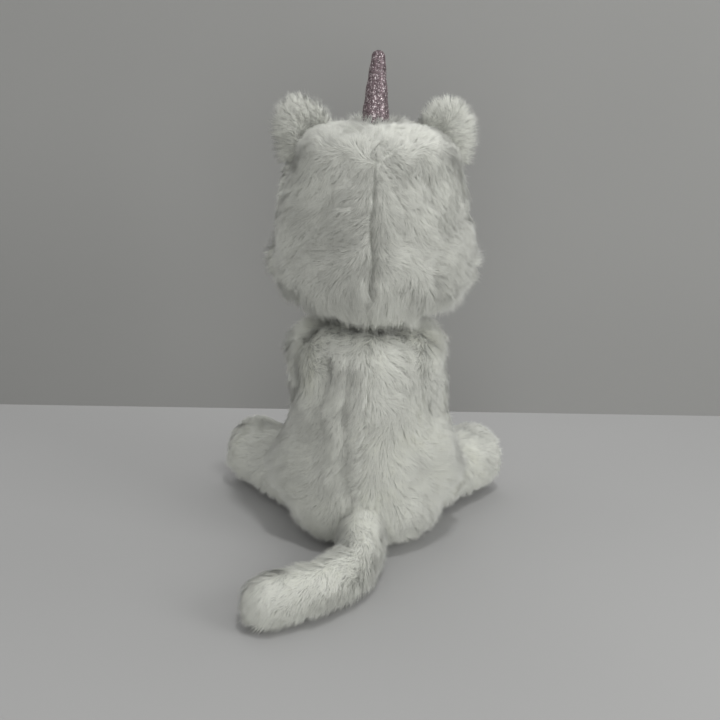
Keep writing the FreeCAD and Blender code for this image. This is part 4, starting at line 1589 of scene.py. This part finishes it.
def glossy_eye():
    """Make the eyes' moulded plastic: near black, with a faint brown swirl."""
    material, w, surface = shader("Eye plastic")
    swirl = w.noise(w.place(), 900.0, 2.0)
    tone = ramp(w, swirl, (0.3, (0.012, 0.010, 0.010)), (0.8, (0.045, 0.030, 0.026)))
    looks = {"Base Color": tone, "Roughness": 0.09, "Coat Weight": 0.6, "Coat Roughness": 0.04}
    w.fill(surface, looks)
    return material


class PLUSH_OT_horn(Operator):
    """Make the stuffed horn of glitter cloth"""

    bl_idname = "plush.horn"
    bl_label = "Horn"

    def execute(self, context):
        root = PIVOTS["horn_flex"]
        low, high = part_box("horn_sleeve")
        root_radius = (high.x - low.x) / 2
        reach = high.z - root.z
        end_radius = 4.5 * MM
        bend = 4.4 * MM
        profile = limb_profile(root_radius, end_radius, bend, reach, 0.0)
        form = limb_form(Matrix.Translation(root), profile, 48)
        for vertex in form.verts:
            share = max(0.0, (vertex.co.z - root.z) / reach)
            lump = 0.45 * MM * bumps(vertex.co, 9 * MM, 60)
            pucker = 0.25 * MM * math.sin(share * 26) * share * (1 - share) * 4
            outward = Vector((vertex.co.x - root.x, vertex.co.y - root.y, 0))
            if outward.length > 1e-6:
                vertex.co += outward.normalized() * (lump + pucker)
            vertex.co.x -= 0.7 * MM * share**1.4
        # The back seam draws the cloth in along the whole length.
        for vertex in form.verts:
            turn = math.atan2(vertex.co.x - root.x, vertex.co.y - root.y)
            vertex.co.y -= 0.5 * MM * math.exp(-((turn / 0.16) ** 2))
        bmesh.ops.subdivide_edges(form, edges=form.edges[:], cuts=1, use_grid_fill=True)
        bmesh.ops.smooth_vert(
            form, verts=form.verts[:], factor=0.5, use_axis_x=True, use_axis_y=True, use_axis_z=True
        )
        bmesh.ops.recalc_face_normals(form, faces=form.faces[:])
        place_form(form, "horn_sleeve_cloth", glitter_cloth(), "horn_sleeve")
        return {"FINISHED"}


class PLUSH_OT_muzzle(Operator):
    """Make the muzzle, the flocked nose and the stitched mouth"""

    bl_idname = "plush.muzzle"
    bl_label = "Muzzle, nose and mouth"

    def execute(self, context):
        low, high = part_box("muzzle")
        wide = (high.x - low.x) / 2
        tall = (high.z - low.z) / 2
        deep = 18 * MM
        middle = Vector((0, low.y + deep, (low.z + high.z) / 2))
        inset = 1.6 * MM

        def front(x, z):
            """Return how far forward the muzzle's backing is at a place."""
            inside = 1 - (x / (wide - inset)) ** 2 - ((z - middle.z) / (tall - inset)) ** 2
            return middle.y - (deep - inset) * math.sqrt(max(0.0, inside))

        rings = turned_rings(oval_profile(1, 1, 30), 64)
        form = closed_form(rings, Vector((0, 0, -1)), Vector((0, 0, 1)))
        stretch = Matrix.Diagonal((wide - inset, deep - inset, tall - inset, 1))
        move_form(form, Matrix.Translation(middle) @ stretch)
        # A soft cleft under the nose parts the two halves of the muzzle.
        for vertex in form.verts:
            if vertex.co.y < middle.y and vertex.co.z < middle.z + 4 * MM:
                vertex.co.y += 1.6 * MM * math.exp(-((vertex.co.x / (2.2 * MM)) ** 2))
        form.normal_update()

        def groom(point, normal):
            comb = Vector((point.x, 0.5 * MM, point.z - middle.z - 4 * MM)).normalized()
            return comb, 1.0, 1.0, 0.5

        grow_form(
            "muzzle_plush",
            form,
            groom,
            "muzzle",
            short_fur(),
            keep=lambda c: c.y < middle.y + 5 * MM,
            slot="short_plush",
            length=3.2 * MM,
            thickness=0.2 * MM,
            lock_size=2.2 * MM,
            lean=math.radians(55),
            strands_per_area=3.6e6,
        )
        self.nose()
        self.mouth(front)
        return {"FINISHED"}

    def nose(self):
        """Make the nose: a soft triangle, wider above, with a crowned front."""
        low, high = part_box("nose")
        centre = (low + high) / 2
        wide = (high.x - low.x) / 2
        tall = (high.z - low.z) / 2
        deep = high.y - low.y
        form = bmesh.new()
        rows = []
        for ring in range(1, 11):
            share = ring / 10
            row = []
            for turn in circle(48):
                x = math.cos(turn)
                z = math.sin(turn)
                x *= 1 - 0.32 * max(0.0, -z)
                z = z * 0.92 + 0.08
                y = high.y - deep * (1 - share**2.6) ** 0.6
                place = (centre.x + wide * share * x, y, centre.z + tall * share * z)
                row.append(form.verts.new(place))
            rows.append(row)
        tip = form.verts.new((centre.x, high.y - deep, centre.z + 0.08 * tall))
        back = form.verts.new((centre.x, high.y + 1.2 * MM, centre.z))
        disc_faces(form, tip, rows, back)
        bmesh.ops.recalc_face_normals(form, faces=form.faces[:])
        finish = flock("Nose flock", tuple(bpy.context.scene.plush_trim.nose))
        place_form(form, "nose_flocked", finish, "nose")

    def mouth(self, front):
        """Lay satin stitches along the two curves of the mouth and the line above them."""
        low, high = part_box("mouth_stitches")
        nose_low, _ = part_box("nose")
        radius = (high.x - low.x) / 4 - 0.5 * MM
        line_top = nose_low.z
        level = high.z
        lines = [[Vector((0, 0, line_top + (level - line_top) * k / 8)) for k in range(9)]]
        for sign in SIDES.values():
            curve = []
            for k in range(17):
                turn = math.pi * (1 + k / 16)
                x = sign * radius + radius * math.cos(turn) * sign
                curve.append(Vector((x, 0, level + radius * math.sin(turn))))
            lines.append(curve)
        stitches = bpy.data.meshes.new("mouth_lines")
        points = []
        edges = []
        for line in lines:
            start = len(points)
            points += [Vector((p.x, front(p.x, p.z) - 1.5 * MM, p.z)) for p in line]
            edges += [(start + k, start + k + 1) for k in range(len(line) - 1)]
        stitches.from_pydata(points, edges, [])
        piece = add_piece("mouth_stitching", stitches)
        thread = flock("Mouth thread", tuple(bpy.context.scene.plush_trim.thread))
        values = {
            "Spacing": 0.32 * MM, "Stitch width": 0.95 * MM, "Thread": 0.26 * MM, "Finish": thread
        }
        run_tree(piece, "Satin stitches", stitch_tree, values)
        dress(piece, ["mouth_stitches"])


def stitch_tree():
    """Build the node group that lays short slanted stitches side by side along lines."""
    tree = bpy.data.node_groups.new("Satin stitches", "GeometryNodeTree")
    for name, kind in [
        ("Lines", "NodeSocketGeometry"),
        ("Spacing", "NodeSocketFloat"),
        ("Stitch width", "NodeSocketFloat"),
        ("Thread", "NodeSocketFloat"),
        ("Finish", "NodeSocketMaterial"),
    ]:
        tree.interface.new_socket(name, in_out="INPUT", socket_type=kind)
    tree.interface.new_socket("Stitching", in_out="OUTPUT", socket_type="NodeSocketGeometry")
    w = Wiring(tree)
    given = w.node("NodeGroupInput").outputs
    lines = w.node("GeometryNodeMeshToCurve", {"Mesh": given["Lines"]}).outputs[0]
    marks = w.node(
        "GeometryNodeCurveToPoints", {"Curve": lines, "Length": given["Spacing"]}, mode="LENGTH"
    ).outputs
    stitch = w.node(
        "GeometryNodeMeshUVSphere", {"Segments": 8, "Rings": 6, "Radius": 1.0}
    ).outputs["Mesh"]
    size = w.join(given["Stitch width"], given["Thread"], given["Thread"])
    slant = w.node("FunctionNodeAlignRotationToVector", {"Vector": marks["Tangent"]}, axis="Y")
    sewn = w.node(
        "GeometryNodeInstanceOnPoints",
        {"Points": marks["Points"], "Instance": stitch, "Rotation": slant, "Scale": size},
    )
    whole = w.node("GeometryNodeRealizeInstances", {0: sewn}).outputs[0]
    whole = w.node("GeometryNodeSetShadeSmooth", {0: whole}).outputs[0]
    whole = w.node("GeometryNodeSetMaterial", {"Geometry": whole, "Material": given["Finish"]})
    result = w.node("NodeGroupOutput")
    tree.links.new(whole.outputs[0], result.inputs[0])
    return tree


class PLUSH_OT_insides(Operator):
    """Finish the eyes and the inner pieces: stuffing, pellet pouch and washers"""

    bl_idname = "plush.insides"
    bl_label = "Eyes and inner pieces"

    def execute(self, context):
        stuffing = plain_finish("Polyester stuffing", (0.9, 0.9, 0.9), 240.0, 0.95, 1.5 * MM)
        washer = plain_finish("Washer plastic", (0.8, 0.8, 0.8), 500.0, 0.4, 0.05 * MM)
        eye = glossy_eye()
        finishes = {"pellet_pouch": pouch_weave(), "pellet_filling": pellet_finish()}
        for side in SIDES:
            finishes[f"eye_{side}"] = eye
            finishes[f"eye_washer_{side}"] = washer
        for name, node in frame["nodes"].items():
            if "stuffing" in name:
                finishes[name] = stuffing
            if name in finishes:
                node.data.materials.clear()
                node.data.materials.append(finishes[name])
        return {"FINISHED"}


# Name, place, width and share of the lamps' strength.
LAMPS = [
    ("ceiling_lamp", (-0.13, 0.3, 1.3), 0.06, 0.5),
    ("side_lamp", (-0.95, 0.55, 0.6), 0.5, 0.52),
    ("far_lamp", (0, -0.9, 1.6), 1.0, 0.3),
    ("front_lamp", (-0.08, 1.0, 0.14), 0.7, 0.46),
]
LAMPS_AIM = Vector((0, 0.02, 0.12))
SHEET_HALF = 4.0
BACKDROP_DEPTH = -234 * MM
BACKDROP_TURN = math.radians(2.2)
CAMERA_PLACE = (0.0052, 0.585, 0.301)
CAMERA_PITCH = math.radians(17)
CAMERA_ROLL = math.radians(1.7)


class PLUSH_OT_stage(Operator):
    """Set up the floor, the backdrop, the lamps and the camera"""

    bl_idname = "plush.stage"
    bl_label = "Stage"

    def execute(self, context):
        stage = context.scene.plush_stage
        self.sheet("floor", tuple(stage.floor), Matrix.Translation((0, 0, -0.1 * MM)))
        upright = Matrix.Rotation(math.radians(-90), 4, "X")
        turned = Matrix.Rotation(BACKDROP_TURN, 4, "Z")
        back = Matrix.Translation((0, BACKDROP_DEPTH, 0)) @ turned @ upright
        wall = self.sheet("backdrop", tuple(stage.wall), back, True)
        wall.visible_diffuse = False
        wall.visible_shadow = False
        for name, at, size, share in LAMPS:
            self.lamp(name, at, size, share * stage.lamp)
        world = bpy.data.worlds.new("Studio")
        world.use_nodes = True
        light = world.node_tree.nodes["Background"].inputs
        light["Color"].default_value = (1, 1, 1, 1)
        light["Strength"].default_value = stage.sky
        context.scene.world = world
        context.scene.view_settings.view_transform = "Standard"
        self.camera(context.scene)
        return {"FINISHED"}

    def sheet(self, name, colour, place, one_sided=False):
        """Lay a large plain sheet. A one-sided sheet isn't seen from behind."""
        half = SHEET_HALF
        corners = [(-half, -half, 0), (half, -half, 0), (half, half, 0), (-half, half, 0)]
        mesh = bpy.data.meshes.new(name)
        mesh.from_pydata([place @ Vector(c) for c in corners], [], [(0, 1, 2, 3)])
        material, w, surface = shader(name.capitalize() + " paper")
        cloudy = w.noise(w.place(), 2.2, 2.0)
        tone = ramp(w, cloudy, (0.3, scaled(colour, 0.97)), (0.7, scaled(colour, 1.03)))
        w.fill(surface, {"Base Color": tone, "Roughness": 0.85, "Specular IOR Level": 0.2})
        if one_sided:
            behind = w.node("ShaderNodeNewGeometry").outputs["Backfacing"]
            clear = w.node("ShaderNodeBsdfTransparent")
            mixed = w.node("ShaderNodeMixShader", {0: behind, 1: surface, 2: clear})
            output = material.node_tree.nodes["Material Output"]
            w.feed(output.inputs["Surface"], mixed)
        mesh.materials.append(material)
        sheet = add_piece(name, mesh)
        return sheet

    def lamp(self, name, at, size, power):
        """Hang one square soft lamp that points at the toy."""
        data = bpy.data.lights.new(name, "AREA")
        data.size = size
        data.energy = power
        lamp = bpy.data.objects.new(name, data)
        bpy.context.scene.collection.objects.link(lamp)
        lamp.location = at
        toward = LAMPS_AIM - Vector(at)
        lamp.rotation_mode = "QUATERNION"
        lamp.rotation_quaternion = toward.to_track_quat("-Z", "Y")

    def camera(self, scene):
        """Set the camera behind the toy, a little above it."""
        pitch, roll = CAMERA_PITCH, CAMERA_ROLL
        data = bpy.data.cameras.new("camera")
        data.lens = 45
        data.sensor_width = 36
        view = bpy.data.objects.new("camera", data)
        scene.collection.objects.link(view)
        ahead = Vector((0, -math.cos(pitch), -math.sin(pitch)))
        right = Vector((-1, 0, 0))
        up = Vector((0, -math.sin(pitch), math.cos(pitch)))
        tilted_right = right * math.cos(roll) + up * math.sin(roll)
        tilted_up = up * math.cos(roll) - right * math.sin(roll)
        turn = Matrix((tilted_right, tilted_up, -ahead)).transposed()
        view.matrix_world = Matrix.Translation(CAMERA_PLACE) @ turn.to_4x4()
        scene.camera = view


class PLUSH_PT_panel(Panel):
    """Lists the steps that make the plush unicorn"""

    bl_idname = "PLUSH_PT_panel"
    bl_label = "Plush unicorn"
    bl_space_type = "VIEW_3D"
    bl_region_type = "UI"
    bl_category = "Plush"

    def draw(self, context):
        for settings in ("plush_fur", "plush_trim", "plush_stage"):
            group = getattr(context.scene, settings)
            box = self.layout.box()
            for name in group.__annotations__:
                box.prop(group, name)
        for step in STEPS:
            self.layout.operator(step.bl_idname)


STEPS = [
    PLUSH_OT_stage,
    PLUSH_OT_torso,
    PLUSH_OT_neck,
    PLUSH_OT_head,
    PLUSH_OT_ears,
    PLUSH_OT_horn,
    PLUSH_OT_muzzle,
    PLUSH_OT_forelegs,
    PLUSH_OT_hind_legs,
    PLUSH_OT_tail,
    PLUSH_OT_insides,
]
CLASSES = [FurSettings, TrimSettings, StageSettings, *STEPS, PLUSH_PT_panel]


def register():
    for item in CLASSES:
        bpy.utils.register_class(item)
    bpy.types.Scene.plush_fur = PointerProperty(type=FurSettings)
    bpy.types.Scene.plush_trim = PointerProperty(type=TrimSettings)
    bpy.types.Scene.plush_stage = PointerProperty(type=StageSettings)


def unregister():
    for name in ("plush_fur", "plush_trim", "plush_stage"):
        delattr(bpy.types.Scene, name)
    for item in reversed(CLASSES):
        bpy.utils.unregister_class(item)


def main():
    register()
    for step in STEPS:
        group, name = step.bl_idname.split(".")
        getattr(getattr(bpy.ops, group), name)()


if __name__ == "__main__":
    main()
